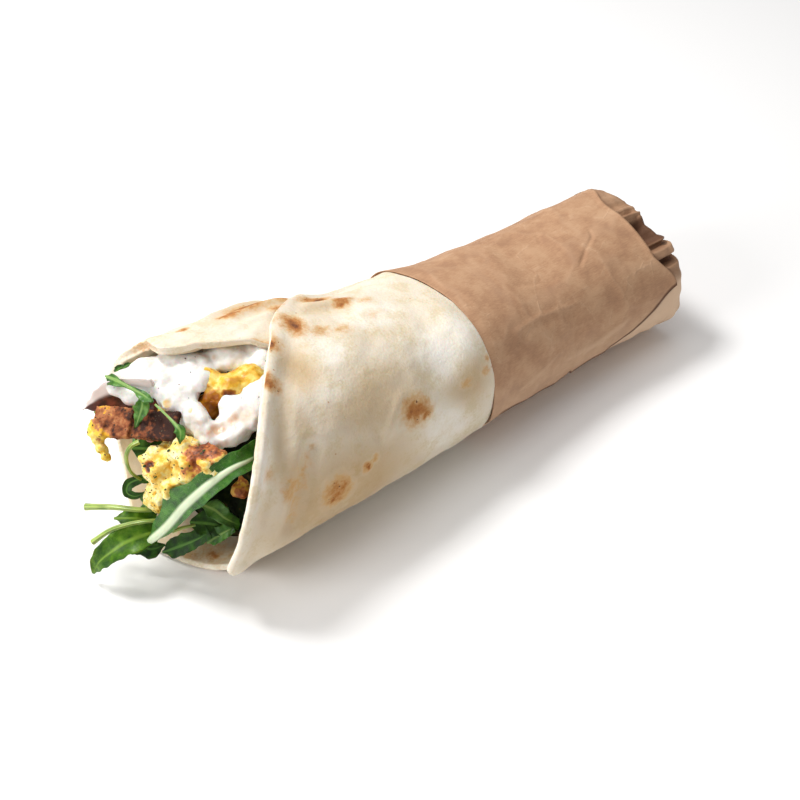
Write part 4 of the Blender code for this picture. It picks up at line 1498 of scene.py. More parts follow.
    def sunk(self, angle: float, closing: float) -> tuple[float, float]:
        """How deep the pleats sink, twisting as the end closes, and how deep their shade is."""
        depths = [pleat.at(angle + self.twist * smooth(0.3, 1.0, closing)) for pleat in self.pleats]
        return max(depth * pleat.along(closing) for depth, pleat in zip(depths, self.pleats)), max(depths)

    def gathered(self, shell: Shell, angles: list[float], closing: float, depth: float) -> Row:
        """One ring of the gathered end.

        Args:
            shell: the tube so far.
            angles: the angle of each column.
            closing: 0 at the tube and 1 at the middle of the end.
            depth: how far inside the paper's outer face it lies.

        Returns:
            The ring.
        """
        middle = Vector((0.0, 0.0, self.roll.tail_height * self.roll.axis_share))
        over = math.sin(min(1.0, closing / 0.5) * math.pi / 2.0)
        fading = smooth(0.42, 0.16, closing)
        ring, crease, hollow = [], [], []
        for angle in angles:
            start = self.panel_rear(angle) + 0.4
            rear = self.rear_x + 1.6 * smooth(100.0, 125.0, angle) + 1.6 * smooth(-120.0, -160.0, angle)
            x = start + (rear - start) * over - 7.0 * smooth(0.5, 1.0, closing)
            edge = self.roll.point(x, angle)
            sunk, shade = self.sunk(angle, closing)
            sunk *= smooth(0.0, 0.05, closing) * smooth(1.0, 0.55, closing)
            sunk *= self.roll.above_foot(angle) if closing < 0.4 else 1.0
            wrinkle = 0.5 * rough(edge, 4.5) * smooth(0.02, 0.2, closing) * smooth(1.0, 0.7, closing)
            away = Vector((0.0, edge.y - middle.y, edge.z - middle.z))
            corner = bump(turned(angle, self.low_corner_angle), 0.0, 36.0)
            corner *= self.low_corner * (1.0 + smooth(0.0, 0.3, closing))
            away *= 1.0 - 0.98 * closing**2.4 + (wrinkle + corner - sunk - depth) / away.length
            spot = middle + away
            spot.x = x - 0.45 * sunk - depth * smooth(0.1, 0.5, closing)
            spot.z = max(spot.z, depth)
            ring.append(spot)
            # A painted highlight: lighter where the pleats do not sink.
            crease.append(0.5 * smooth(0.4, 0.0, sunk))
            aside = abs(turned(angle, self.gather_centre))
            # Painted shade: dark in the pleats, a little darker over the gathered end near its centre
            # angle, and a painted shadow line where it starts under the second layer.
            shade = smooth(0.8, 5.0, shade) * smooth(0.75, 0.35, closing)
            shade = max(shade, 0.30 + 0.24 * rough(edge, 7.0))
            line = 0.6 * smooth(0.07, 0.0, closing) * smooth(62.0, 54.0, aside)
            hollow.append(shade * smooth(66.0, 50.0, aside) + line)
        return shell.row(ring, crease=crease, hollow=hollow, inner=[fading * self.pale_face_and_bounce(a) for a in angles])

    def panel(self) -> Object:
        """Makes the second layer, a sheet whose free edges stand off a little.

        Returns:
            The layer.
        """
        shell = Shell("paper_panel", ("crease", "inner", "hollow"))
        columns = int(self.columns * self.panel_share)
        front, rear = self.front(200.0), self.panel_rear(190.0)
        tops, backs = [], []
        for r in range(self.rows + 1):
            share = r / self.rows
            first = self.panel_edge(front + (rear - front) * share)
            top, back, crease, low, line = [], [], [], [], []
            for k in range(columns + 1):
                u = self.panel_share * k / columns
                angle = first - 360.0 * u
                x = self.front(angle) - 0.15 + (self.panel_rear(angle) - self.front(angle) + 0.3) * share
                high, sharp = self.crumple(x, angle)
                high = min(high, self.highest)
                high += (0.1 - high) * smooth(0.06, 0.0, share)
                layer = self.step * smooth(self.panel_share, self.panel_share - 0.06, u) - 0.12
                layer -= 0.35 * smooth(0.05, 0.0, share)
                curl = 0.25 * smooth(0.03, 0.0, u) + 0.35 * smooth(0.97, 1.0, share)
                grow = high * self.roll.above_foot(angle) + curl + layer
                top.append(self.roll.point(x, angle, grow))
                back.append(self.roll.point(x, angle, grow - self.thickness))
                # A painted highlight: lighter along the free edge.
                crease.append(max(sharp, 0.5 * smooth(0.01, 0.0, u)))
                # A painted shadow: a dark line right at the free edge, fading out towards the front.
                line.append(1.1 * smooth(0.0085, 0.0045, u) * smooth(2.0, 14.0, x))
                # Painted light from below: lighter low on the near side, with a wavy border.
                wavy = 6.0 * noise.noise(Vector((x / 15.0, 2.0, 1.0)))
                low.append(0.3 * smooth(168.0, 190.0, angle + wavy))
            tops.append(shell.row(top, crease=crease, inner=low, hollow=line))
            backs.append(shell.row(back, crease=crease, hollow=line))
        shell.wrapped(tops, backs)
        return dressed(shell.made(), PAPER_FINISH, "paper_sleeve")


# Leaves and stalks

FACING_OUT: Point = (-0.47, -0.6, 0.65)


@dataclass
class Blade:
    """A leaf or a curved slice: a thin solid along its midrib, with lobed and rippled edges."""

    node: str
    route: tuple[Point, ...]
    half_width: float
    face: Point = FACING_OUT
    rib: float = 0.8
    thickness: float = 0.55
    lobes: float = 0.0
    lobe_depth: float = 0.5
    cup: float = 0.2
    ripple: float = 0.35
    left: tuple[float, ...] = ()
    right: tuple[float, ...] = ()
    ragged: float = 0.5
    finish: Finish = Greens.FRESH.value
    stations: int = 46
    across: int = 17

    def half_at(self, share: float, side: float) -> float:
        """The blade's half width.

        Args:
            share: the place along it.
            side: above 0 on the right of the midrib, seen from above along the route.

        Returns:
            The half width in millimetres.
        """
        widths = self.right if side > 0.0 else self.left
        waves = 0.07 * math.sin(31.0 * share + 2.0 * side) + 0.05 * math.sin(53.0 * share)
        ragged = 1.0 + self.ragged * waves
        if widths:
            place = share * (len(widths) - 1)
            k = min(int(place), len(widths) - 2)
            return ragged * (widths[k] + (widths[k + 1] - widths[k]) * smooth(0.0, 1.0, place - k))
        outline = math.sin(math.pi * min(0.985, share**0.75)) ** 0.7
        notch = 1.0
        if self.lobes:
            shifted = share + 0.035 * side
            notch = 1.0 - self.lobe_depth * math.cos(math.pi * self.lobes * shifted) ** 2
        return self.half_width * outline * notch * ragged

    def smeared(self, across: float) -> float:
        """How much cream lies on it at a place across, -1 to 1; a leaf is clean."""
        return 0.0

    def build(self) -> Object:
        """Makes the blade, with its midrib as a round ridge on both faces.

        Returns:
            The blade.
        """
        name = self.node.replace("rocket_", "").replace("red_", "salad_") + "_blade"
        shell = Shell(name, ("rib", "smear"))
        top_rows, under_rows = [], []
        for s in range(self.stations):
            share = s / (self.stations - 1)
            spot, way = through(self.route, share)
            side_way = way.cross(Vector(self.face)).normalized()
            up = side_way.cross(way)
            slim = self.rib * (0.35 + 0.65 * smooth(1.0, 0.35, share))
            top, under, uvs, rib, smear = [], [], [], [], []
            for k in range(self.across):
                a = 2.0 * k / (self.across - 1) - 1.0
                a = math.copysign(abs(a) ** 1.25, a)
                half = max(self.half_at(share, a), 0.6 * slim)
                out = a * half
                flat = smooth(slim, slim * 2.5, half)
                waves = math.sin(9.0 * share) * a + 0.8 * math.sin(26.0 * share + 2.0 * a)
                rise = (self.cup * half + self.ripple * waves) * a * a * flat
                middle = spot + side_way * out + up * rise
                ridge = slim * math.sqrt(max(0.0, 1.0 - (out / slim) ** 2)) if abs(out) < slim else 0.0
                thick = max(self.thickness / 2.0 * (1.0 - 0.7 * a * a), 0.10)
                top.append(middle + up * max(thick, 0.8 * ridge))
                under.append(middle - up * max(thick, 0.9 * ridge))
                uvs.append((0.5 + 0.5 * a, share))
                rib.append(smooth(1.15 * slim, 0.55 * slim, abs(out)) * smooth(1.0, 0.75, share))
                smear.append(self.smeared(a))
            top_rows.append(shell.row(top, uvs, rib=rib, smear=smear))
            under_rows.append(shell.row(under, uvs, rib=[0.8 * r for r in rib], smear=smear))
        shell.wrapped(top_rows, under_rows)
        return dressed(shell.made(), self.finish, self.node)


@dataclass
class Petal(Blade):
    """A thick, smooth petal, smeared with cream along its upper edge."""

    def smeared(self, across: float) -> float:
        """How much cream lies on it at a place across, -1 to 1."""
        return smooth(-0.10, -0.40, across)


LEAVES = (
    Blade(
        "rocket_leaf_broad",
        (
            (-124.1, -12.8, 14.5), (-119, -20, 25.8), (-114.9, -26, 37), (-110.7, -30, 44.1),
            (-106.4, -32.5, 48.6), (-100.3, -33.5, 50.8), (-94.6, -33, 50.1), (-87.6, -30, 47.2),
        ),
        5.6, rib=1.5, cup=0.22, ripple=0.25, left=(0.6, 4.2, 7.0, 4.6, 4.2, 4.4, 4.6, 4.8),
        right=(0.6, 2.4, 3.2, 3.8, 3.6, 3.2, 3.0, 3.0), ragged=0.5, finish=Greens.BROAD.value,
        stations=90, across=33,
    ),
    Blade(
        "rocket_leaf_drooping",
        (
            (-118, -13, 17), (-123, -12.5, 18.5), (-129, -10.5, 17.5), (-134, -8.5, 14.5),
            (-138, -6, 10), (-140, -3.5, 3.5),
        ),
        4.6, rib=0.5, face=(-0.5, -0.4, 0.75), cup=0.3, left=(1.0, 4.0, 5.0, 4.4, 3.8, 2.6, 0.4),
        right=(1.0, 4.0, 5.2, 5.0, 4.2, 2.8, 0.4), finish=Greens.BRIGHT.value,
    ),
    Blade(
        "rocket_leaf_left", ((-128, 0, 19), (-123, -5, 20), (-117, -8, 18)), 3.8, rib=0.4,
        left=(0.4, 2.8, 3.4, 3.4), right=(0.4, 2.6, 3.4, 3.0), finish=Greens.BRIGHT.value,
    ),
    Blade(
        "rocket_leaf_low_left",
        ((-127, -6, 14), (-124, -8, 10.4), (-121.4, -10.5, 8.8), (-117.6, -13, 10.4)), 4.2, rib=0.4,
        lobes=2.0, lobe_depth=0.3, finish=Greens.DARK.value,
    ),
    Blade(
        "rocket_leaf_low_middle",
        ((-118.6, -12.5, 7.2), (-114.8, -16.5, 10.5), (-110, -20, 13.6), (-105.5, -22.5, 16.6)), 3.6,
        rib=0.4, left=(0.5, 3.4, 3.8, 3.0, 2.6), right=(0.5, 3.2, 3.0, 2.4, 2.0),
        finish=Greens.DARK.value,
    ),
    Blade(
        "rocket_leaf_low_right", ((-106.6, -21.5, 11.2), (-102.8, -24, 14.7), (-98.4, -26, 17.3)), 3.2,
        rib=0.4, left=(0.3, 2.4, 3.0, 2.6, 2.0), right=(0.3, 2.0, 2.2, 2.0, 1.6),
    ),
    Blade(
        "rocket_leaf_inner",
        ((-105.4, -20, 27.1), (-102.4, -22, 24.5), (-100.2, -24, 21), (-96.1, -26, 16.7)), 3.4, rib=0.4,
        left=(0.8, 3.4, 3.4, 2.4, 1.6), right=(0.8, 3.0, 2.6, 2.0, 1.6),
    ),
    Blade(
        "rocket_leaf_inner_dark", ((-109.9, -18, 20.4), (-103.6, -21, 17.9), (-97.2, -25, 14.3)), 4.4,
        rib=0.4, lobes=2.0, lobe_depth=0.3, finish=Greens.DARK.value,
    ),
    Blade(
        "rocket_leaf_curl",
        (
            (-113.9, -4.7, 30.6), (-116.4, -1.7, 31.5), (-120.6, 0.1, 30.3), (-122.3, -0.9, 28.1),
            (-120.7, -3.2, 27.2), (-117.5, -4.7, 28.1),
        ),
        1.6, rib=0.3, left=(0.8, 1.6, 1.9, 1.8, 1.5, 0.4), right=(0.8, 1.4, 1.6, 1.3, 1.0, 0.4),
        cup=0.5, ripple=0.1, finish=Greens.DARK.value,
    ),
    Blade(
        "rocket_leaf_under_slab", ((-119, -3, 47.5), (-114, -5, 46), (-108, -7, 45.5)), 3.6, rib=0.5,
        lobes=2.0, finish=Greens.DARK.value,
    ),
    Blade(
        "rocket_leaf_upper",
        (
            (-114, 19, 60), (-113.2, 13.5, 61.6), (-111.7, 7.2, 62), (-110.2, 1.7, 62),
            (-109.2, -2.8, 61.4),
        ),
        2.6, rib=0.55, left=(0.3, 1.5, 0.7, 0.6, 1.0, 1.3, 0.4),
        right=(0.3, 2.4, 2.0, 0.8, 0.7, 1.6, 2.0, 0.5), ripple=0.4,
    ),
    Blade(
        "rocket_leaf_upper_tip",
        (
            (-109, -4, 61), (-108.6, -8, 60.5), (-108.3, -14.8, 60), (-108.2, -17.2, 58.5),
            (-109.7, -18.8, 55.5),
        ),
        1.9, rib=0.55, left=(0.3, 0.3, 0.3, 0.5, 1.8, 1.5, 0.2),
        right=(0.3, 0.3, 0.3, 0.8, 2.0, 1.3, 0.2),
    ),
    Blade(
        "rocket_leaf_upper_lobe",
        ((-110.6, 1.4, 61), (-111.6, 0.4, 58.4), (-113.4, 0.4, 54.6), (-115.4, 0.2, 51)), 2.2, rib=0.35,
        left=(1.2, 2.2, 2.4, 1.5, 0.9, 0.2), right=(1.0, 2.0, 2.8, 1.8, 0.8, 0.2),
    ),
    Blade(
        "rocket_bit_far_left", ((-109.6, 21.8, 57), (-108, 21.5, 58.4), (-105.8, 20.9, 59)), 1.3,
        rib=0.3, finish=Greens.DARK.value, stations=24,
    ),
    Blade(
        "rocket_bit_far_right", ((-107, 20.8, 58.4), (-105.6, 20.2, 59.4), (-104.2, 19.6, 60)), 1.0,
        rib=0.3, finish=Greens.DARK.value, stations=24,
    ),
    Blade(
        "rocket_bit_behind_slab", ((-119.4, 20.9, 46), (-117.5, 18.8, 48), (-115.2, 18, 49)), 2.2,
        rib=0.3, stations=24, finish=Greens.BRIGHT.value,
    ),
    Blade(
        "rocket_leaf_far_high", ((-98, 30, 43), (-103, 28, 35), (-106, 23, 25), (-107, 16, 15)), 4.6,
        rib=0.7, face=(-0.9, 0.3, 0.3), lobes=3.0, lobe_depth=0.4,
    ),
    Blade(
        "rocket_leaf_far_low", ((-99, 22, 7), (-106, 16, 7.5), (-112, 9, 8.5), (-116, 3, 9)), 4.0,
        rib=0.7, face=(-0.6, 0.1, 0.8), lobes=3.0, lobe_depth=0.4, finish=Greens.DARK.value,
    ),
    Petal(
        "red_petal",
        ((-122.5, 22, 48.6), (-119, 20, 50.7), (-115, 17.4, 52.6), (-110, 12, 54.6), (-104, 5, 55.6)),
        5.8, face=(-0.6, -0.7, 0.3), rib=0.5, thickness=2.2, cup=0.4, ripple=0.1,
        left=(0.1, 2.0, 4.4, 6.4, 7.0, 7.0), right=(0.1, 2.2, 4.4, 5.6, 6.4, 6.4), ragged=0.1,
        finish=PETAL_FINISH,
    ),
)


@dataclass
class Stalk:
    """A leafless stalk, made by a Geometry Nodes tree that sweeps a tapering ring along its route."""

    node: str
    route: tuple[Point, ...]
    radius: float
    points: int = 40

    def build(self) -> Object:
        """Makes the stalk.

        Returns:
            The stalk.
        """
        name = self.node.replace("rocket_", "") + "_tube"
        curve = bpy.data.curves.new(self.node + "_line", "CURVE")
        curve.dimensions = "3D"
        spline = curve.splines.new("POLY")
        spline.points.add(self.points - 1)
        for k in range(self.points):
            spot = through(self.route, k / (self.points - 1))[0]
            spline.points[k].co = (*(spot * MM), 1.0)
        line = placed(name, curve)
        grow(line, sweep_tree(), {"Radius": self.radius * MM})
        graph = bpy.context.evaluated_depsgraph_get()
        data = bpy.data.meshes.new_from_object(line.evaluated_get(graph))
        bpy.data.objects.remove(line, do_unlink=True)
        data.shade_smooth()
        return dressed(placed(name, data), STALK_FINISH, self.node)


STALKS = (
    Stalk("rocket_stalk_left", ((-134, 7, 22.5), (-128, -1, 25), (-121, -8, 25), (-112, -9, 21)), 1.1),
    Stalk(
        "rocket_stalk_low",
        ((-137, -1, 14.5), (-132, -4.5, 19.5), (-127, -9, 23), (-121, -13, 24), (-114, -16, 22)), 0.95,
    ),
    Stalk("rocket_stalk_scrap", ((-117, -19, 21.5), (-113.5, -20.5, 22.3), (-110, -22, 22.4)), 0.7),
    Stalk(
        "rocket_stalk_loop",
        (
            (-117, -5, 50.5), (-120, -4.5, 49.6), (-121.5, -3.5, 45), (-120.4, -2.3, 37.5),
            (-117, -1.5, 31),
        ),
        0.75,
    ),
    Stalk("rocket_stalk_far", ((-100, 26, 45), (-106, 20, 38), (-108, 12, 31)), 1.0),
)


class Tree(NodeMaker):
    """A Geometry Nodes tree while it is being made."""

    def __init__(self, name: str, inputs: dict[str, tuple[str, float]]) -> None:
        """Starts a tree with a geometry input and some named sizes.

        Args:
            name: the tree's name.
            inputs: each size's socket type and default, by its name.
        """
        self.tree = bpy.data.node_groups.new(name, "GeometryNodeTree")
        socket = self.tree.interface.new_socket
        socket("Geometry", in_out="INPUT", socket_type="NodeSocketGeometry")
        for label, (kind, value) in inputs.items():
            socket(label, in_out="INPUT", socket_type=kind).default_value = value
        socket("Geometry", in_out="OUTPUT", socket_type="NodeSocketGeometry")
        self.given = self.tree.nodes.new("NodeGroupInput")

    def ended(self, last: Node) -> NodeTree:
        """Joins the last node to the tree's output."""
        self.tree.links.new(last.outputs[0], self.tree.nodes.new("NodeGroupOutput").inputs[0])
        return self.tree


def grow(piece: Object, tree: NodeTree, sizes: dict[str, float]) -> None:
    """Puts a Geometry Nodes tree on an object.

    Args:
        piece: the object.
        tree: the tree.
        sizes: its inputs by name.
    """
    growth = piece.modifiers.new(tree.name, "NODES")
    growth.node_group = tree
    for item in tree.interface.items_tree:
        if item.item_type == "SOCKET" and item.in_out == "INPUT" and item.name in sizes:
            growth[item.identifier] = sizes[item.name]


def sweep_tree() -> NodeTree:
    """The tree that turns a stalk's line into a tapering rod with closed ends.

    Returns:
        The tree, made once.
    """
    made = bpy.data.node_groups.get("swept stalk")
    if made:
        return made
    tree = Tree("swept stalk", {"Radius": ("NodeSocketFloat", 0.001)})
    add = tree.add
    along = add("GeometryNodeSplineParameter").outputs["Factor"]
    taper = add("ShaderNodeMapRange", {0: along, 1: 0.0, 2: 1.0, 3: 1.0, 4: 0.62})
    flared = add("ShaderNodeMapRange", {0: along, 1: 0.0, 2: 0.08, 3: 1.12, 4: 1.0})
    both = add("ShaderNodeMath", {0: taper, 1: flared}, operation="MULTIPLY")
    ring = add("GeometryNodeCurvePrimitiveCircle", {"Resolution": 20, "Radius": 1.0})
    round_it = add("GeometryNodeSplineParameter").outputs["Factor"]
    store = add(
        "GeometryNodeStoreNamedAttribute", {"Geometry": ring, "Name": "round", "Value": round_it},
        data_type="FLOAT", domain="POINT",
    )
    keep = add(
        "GeometryNodeStoreNamedAttribute",
        {"Geometry": tree.given.outputs["Geometry"], "Name": "along", "Value": along},
        data_type="FLOAT", domain="POINT",
    )
    radius = add("ShaderNodeMath", {0: both, 1: tree.given.outputs["Radius"]}, operation="MULTIPLY")
    swept = {"Curve": keep, "Profile Curve": store, "Scale": radius, "Fill Caps": True}
    rod = add("GeometryNodeCurveToMesh", swept)
    across = add("GeometryNodeInputNamedAttribute", {"Name": "round"}, data_type="FLOAT")
    lengthways = add("GeometryNodeInputNamedAttribute", {"Name": "along"}, data_type="FLOAT")
    spot = add("ShaderNodeCombineXYZ", {0: across, 1: lengthways})
    mapped = add(
        "GeometryNodeStoreNamedAttribute", {"Geometry": rod, "Name": "blade", "Value": spot},
        data_type="FLOAT2", domain="CORNER",
    )
    dressed_rod = add("GeometryNodeSetMaterial", {"Geometry": mapped, "Material": STALK_FINISH.material()})
    return tree.ended(dressed_rod)


# Omelette, sauce and packed filling


@dataclass
class LumpyPiece:
    """One uneven mass, melted together from round lumps and square-edged blocks, with a broken surface."""

    node: str
    lumps: tuple[tuple[Point, Point], ...]
    finish: Finish
    blocks: tuple[tuple[Point, Point], ...] = ()
    along: Point = (1, 0, 0)
    face: Point = (0, 0, 1)
    voxel: float = 0.6
    smoothing: int = 8
    skins: tuple[tuple[float, float], ...] = ((0.6, 4.5), (0.25, 1.6))
    pits: tuple[Stain, ...] = ()
    paint: dict[str, tuple[Stain, ...]] = field(default_factory=dict)
    paint_all: dict[str, float] = field(default_factory=dict)

    def build(self) -> Object:
        """Makes the mass and paints it.

        Returns:
            The mass.
        """
        x_way = Vector(self.along).normalized()
        y_way = Vector(self.face).cross(x_way).normalized()
        turn = Matrix((x_way, y_way, x_way.cross(y_way))).transposed().to_4x4()
        mesh = bmesh.new()
        for centre, half_sizes in self.lumps:
            place = Matrix.Translation(centre) @ turn @ Matrix.Diagonal((*half_sizes, 1.0))
            bmesh.ops.create_icosphere(mesh, subdivisions=3, radius=1.0, matrix=place)
        for centre, half_sizes in self.blocks:
            place = Matrix.Translation(centre) @ turn @ Matrix.Diagonal((*half_sizes, 1.0))
            bmesh.ops.create_cube(mesh, size=2.0, matrix=place)
        bmesh.ops.scale(mesh, vec=(MM, MM, MM), verts=mesh.verts)
        data = bpy.data.meshes.new(self.node)
        mesh.to_mesh(data)
        mesh.free()
        piece = placed(self.node.replace("omelette", "egg") + "_mass", data)
        melt = piece.modifiers.new("Melted together", "REMESH")
        melt.mode = "VOXEL"
        melt.voxel_size = self.voxel * MM
        settled(piece)
        self.roughen(piece.data)
        self.colour(piece.data)
        piece.data.shade_smooth()
        return dressed(piece, self.finish, self.node)

    def roughen(self, data: Mesh) -> None:
        """Smooths the joins, then raises the uneven surface and sinks the holes.

        Args:
            data: the mass's mesh.
        """
        mesh = bmesh.new()
        mesh.from_mesh(data)
        for _ in range(self.smoothing):
            bmesh.ops.smooth_vert(
                mesh, verts=mesh.verts, factor=0.5, use_axis_x=True, use_axis_y=True, use_axis_z=True
            )
        mesh.normal_update()
        for vert in mesh.verts:
            spot = vert.co / MM
            height = sum(size * rough(spot, grain) for size, grain in self.skins)
            height -= sum(pit.at(spot) for pit in self.pits)
            vert.co += vert.normal * height * MM
        mesh.to_mesh(data)
        mesh.free()

    def colour(self, data: Mesh) -> None:
        """Writes the painted values on the mesh's points.

        Args:
            data: the mass's mesh.
        """
        for key in {*self.paint, *self.paint_all}:
            base = self.paint_all.get(key, 0.0)
            stains = self.paint.get(key, ())
            values = []
            for vert in data.vertices:
                spot = vert.co / MM
                values.append(max([base] + [stain.at(spot) for stain in stains]))
            data.attributes.new(key, "FLOAT", "POINT").data.foreach_set("value", values)


LUMPY_PIECES = (
    LumpyPiece(
        "omelette_chunk",
        (
            ((-112.5, -11, 42), (7, 7.5, 7)), ((-112, -16, 36.5), (6.5, 8, 7.5)),
            ((-114, -9.5, 29), (5.5, 5.5, 6)), ((-107.5, -21.5, 46), (6.5, 7.5, 6)),
            ((-103.5, -27, 50), (4.8, 5.5, 4.5)), ((-107.5, -17.5, 50), (5, 6, 4.3)),
            ((-103, -12, 41), (9, 9, 8)),
        ),
        EGG_FINISH, voxel=0.5, smoothing=4,
        blocks=(
            ((-116.5, -12.5, 45.5), (3.2, 4.2, 2.6)), ((-114.5, -17.5, 41), (4.2, 4.6, 2.4)),
            ((-109, -20.5, 51.4), (4.4, 4.4, 1.8)), ((-104.6, -25.8, 52.6), (4.0, 5.0, 1.8)),
            ((-117, -14, 33.5), (3.0, 4.0, 2.6)),
        ),
        skins=((1.0, 5.0), (0.55, 2.2), (0.26, 0.9)),
        pits=(
            Stain((-118.1, -12.7, 46), 3.2, 2.6), Stain((-113.5, -21.0, 49), 2.2, 2.0),
            Stain((-118.7, -17, 41), 2.0, 1.5), Stain((-115, -12, 49), 2.4, 1.6),
            Stain((-116, -20, 37), 2.0, 1.2), Stain((-121, -13, 42), 2.2, 1.3),
        ),
        paint={
            "brown": (
                # The stains centred on the pits are partly painted shade in those holes; the others are
                # browned skin.
                Stain((-103.4, -24.6, 54.0), 8.0, 0.80), Stain((-106.6, -24.4, 53), 7.5, 0.66),
                Stain((-110.3, -24.6, 50), 5.5, 0.50), Stain((-118.1, -12.7, 46), 2.8, 1.15),
                Stain((-113.5, -21.0, 49), 1.8, 0.9), Stain((-118.7, -17, 41), 1.6, 0.9),
                Stain((-115, -12, 49), 2.0, 0.7), Stain((-122, -12, 40), 3.2, 0.4),
            )
        },
    ),
    LumpyPiece(
        "omelette_slab",
        (
            ((-124.6, 8.6, 46.8), (2.3, 2.6, 2.6)), ((-125.2, 6.0, 44.0), (1.7, 1.9, 2.5)),
            ((-125.2, 3.8, 42.0), (1.5, 1.6, 2.6)),
        ),
        FRIED_FINISH, along=(16, -23, 5), face=(-0.3, -0.4, 0.86), voxel=0.4, smoothing=4,
        blocks=(
            ((-112.8, 0.4, 51.7), (13.0, 4.8, 1.3)), ((-119, 7.6, 50.9), (7.0, 5.0, 1.5)),
            ((-123.8, 9.4, 49.2), (2.8, 2.8, 1.7)),
        ),
        skins=((0.4, 4.0), (0.28, 1.5), (0.16, 0.7)),
        paint={
            "brown": (
                # Stain((-105, -7, 53)) at 1.15 is painted shade: the slab's right part lies in shadow under
                # the petal. The other stains are browned skin.
                Stain((-112, -1.0, 52.5), 16.0, 0.80), Stain((-105, -7, 53), 14.0, 1.15),
                Stain((-117, 6.5, 52), 12.0, 0.72), Stain((-120, 11.5, 51), 7.0, 0.64),
                Stain((-123, 9.5, 50.5), 4.4, 0.52), Stain((-119, 2, 50), 7.0, 0.66),
            )
        },
    ),
    LumpyPiece(
        "omelette_curl",
        (
            ((-78.5, -10.5, 60.5), (6, 6, 4)), ((-84, -9.5, 60), (5.5, 5, 4)),
            ((-90.5, -8.5, 57), (4.5, 3.6, 3.2)), ((-92.5, -5.5, 51.5), (5, 5, 4.5)),
            ((-85, -7, 52), (6, 5, 4)), ((-89, -2.5, 60.2), (4.5, 5, 2.6)),
        ),
        POTATO_FINISH, skins=((0.6, 4.5), (0.3, 1.8), (0.1, 0.8)),
        pits=(Stain((-93, -9.5, 57.5), 4.2, 2.4),),
        paint={
            "brown": (
                Stain((-94.5, -8.5, 54.5), 9.5, 0.62), Stain((-92, -10.5, 58.0), 4.0, 0.6),
                Stain((-87.6, -12.7, 59.4), 3.2, 0.75), Stain((-86, -3, 63), 3.0, 0.3),
            )
        },
    ),
    LumpyPiece(
        "omelette_scrap", (((-92.5, -23, 28.5), (3.6, 3.4, 3.2)), ((-89, -22, 31), (3.4, 3.4, 3.4))),
        # Browned all over; its darkness is partly painted shade, as it lies deep in the mouth.
        EGG_FINISH, paint={"brown": (Stain((-93, -24, 29), 4.0, 0.9),)}, paint_all={"brown": 0.45},
    ),
    LumpyPiece(
        "omelette_far",
        (((-100, 17, 33), (6.5, 8, 8)), ((-102, 8, 22), (7, 9, 9)), ((-99, 23, 20), (6, 7, 8))),
        EGG_FINISH, skins=((0.9, 5.0), (0.45, 2.2), (0.18, 0.9)),
        paint={"brown": (Stain((-106, 14, 30), 7.0, 0.7),)},
    ),
    LumpyPiece(
        "yogurt_sauce",
        (
            ((-111.5, 16.5, 56.8), (4.5, 5.5, 3)), ((-107, 13, 56.2), (7, 8, 4.5)),
            ((-98, 8, 57.6), (8, 8.4, 5)), ((-101.5, 14.5, 58.6), (6, 6, 4.4)),
            ((-93, 12, 60), (7, 6, 4.4)), ((-99, 0, 56.5), (6.5, 7.0, 4.8)),
            ((-89.5, 5.5, 59.4), (9, 8, 5)), ((-91.5, 14.5, 52.8), (9, 7, 4.8)),
            ((-82, 12, 57.6), (8.6, 7, 4.6)), ((-74, 12, 59), (9, 7, 4.4)),
            ((-87, 3.5, 57.5), (8, 5, 4.6)), ((-78, 3, 60), (8, 8, 5)), ((-77, 9, 59.5), (8, 8, 4.2)),
            ((-69, 2, 60.0), (7, 8, 4.2)), ((-70, -6, 59.5), (7, 8, 5)),
            ((-98.6, -9, 53.5), (4.4, 7.5, 6)), ((-98, -16.5, 50.5), (5.0, 6, 4.8)),
            ((-92, -20, 52), (7, 6.5, 4.8)), ((-85, -20, 56), (7, 7.0, 4.8)),
            ((-78, -18, 59), (7, 7, 4.5)), ((-88, -14.5, 56.5), (5, 4, 3.6)),
            ((-91.5, -2.0, 60.6), (4.2, 4.6, 2.6)), ((-103.6, -2.4, 57.0), (2.6, 2.2, 2.0)),
        ),
        SAUCE_FINISH, voxel=0.5, smoothing=12, skins=((1.2, 9.0), (0.38, 3.6), (0.07, 1.3)),
        pits=(
            Stain((-96, -20.5, 55.5), 4.2, 1.4), Stain((-89, -22.5, 58.5), 4.5, 1.2),
            Stain((-90, 22, 61), 5.0, 0.8),
        ),
        paint={
            "brine": (
                Stain((-98.6, -18.4, 53.5), 2.8, 1.0), Stain((-97.0, -19.2, 55), 2.8, 1.25),
                Stain((-95.2, -20.2, 56.2), 3.0, 1.35), Stain((-93.2, -20.8, 57.4), 3.0, 1.25),
                Stain((-91.2, -21.4, 58.4), 3.4, 1.05), Stain((-88.5, -23, 59), 5.0, 0.7),
                Stain((-78, -1.2, 62.6), 1.7, 0.9), Stain((-80.5, 0.8, 62.6), 1.5, 0.9),
                Stain((-83, 2.4, 62.6), 1.7, 0.8), Stain((-76, 2.5, 63), 1.5, 0.9),
                Stain((-79.5, 5, 63), 2.0, 0.7), Stain((-99.5, -14.5, 56), 2.0, 0.7),
                Stain((-112, 20, 58), 4.0, 0.4), Stain((-88, 24, 61), 6.0, 0.35),
            ),
            "egg": (Stain((-104.4, -2.6, 58.0), 2.6, 0.6), Stain((-100.5, -10, 58.4), 1.8, 0.5)),
        },
    ),
)


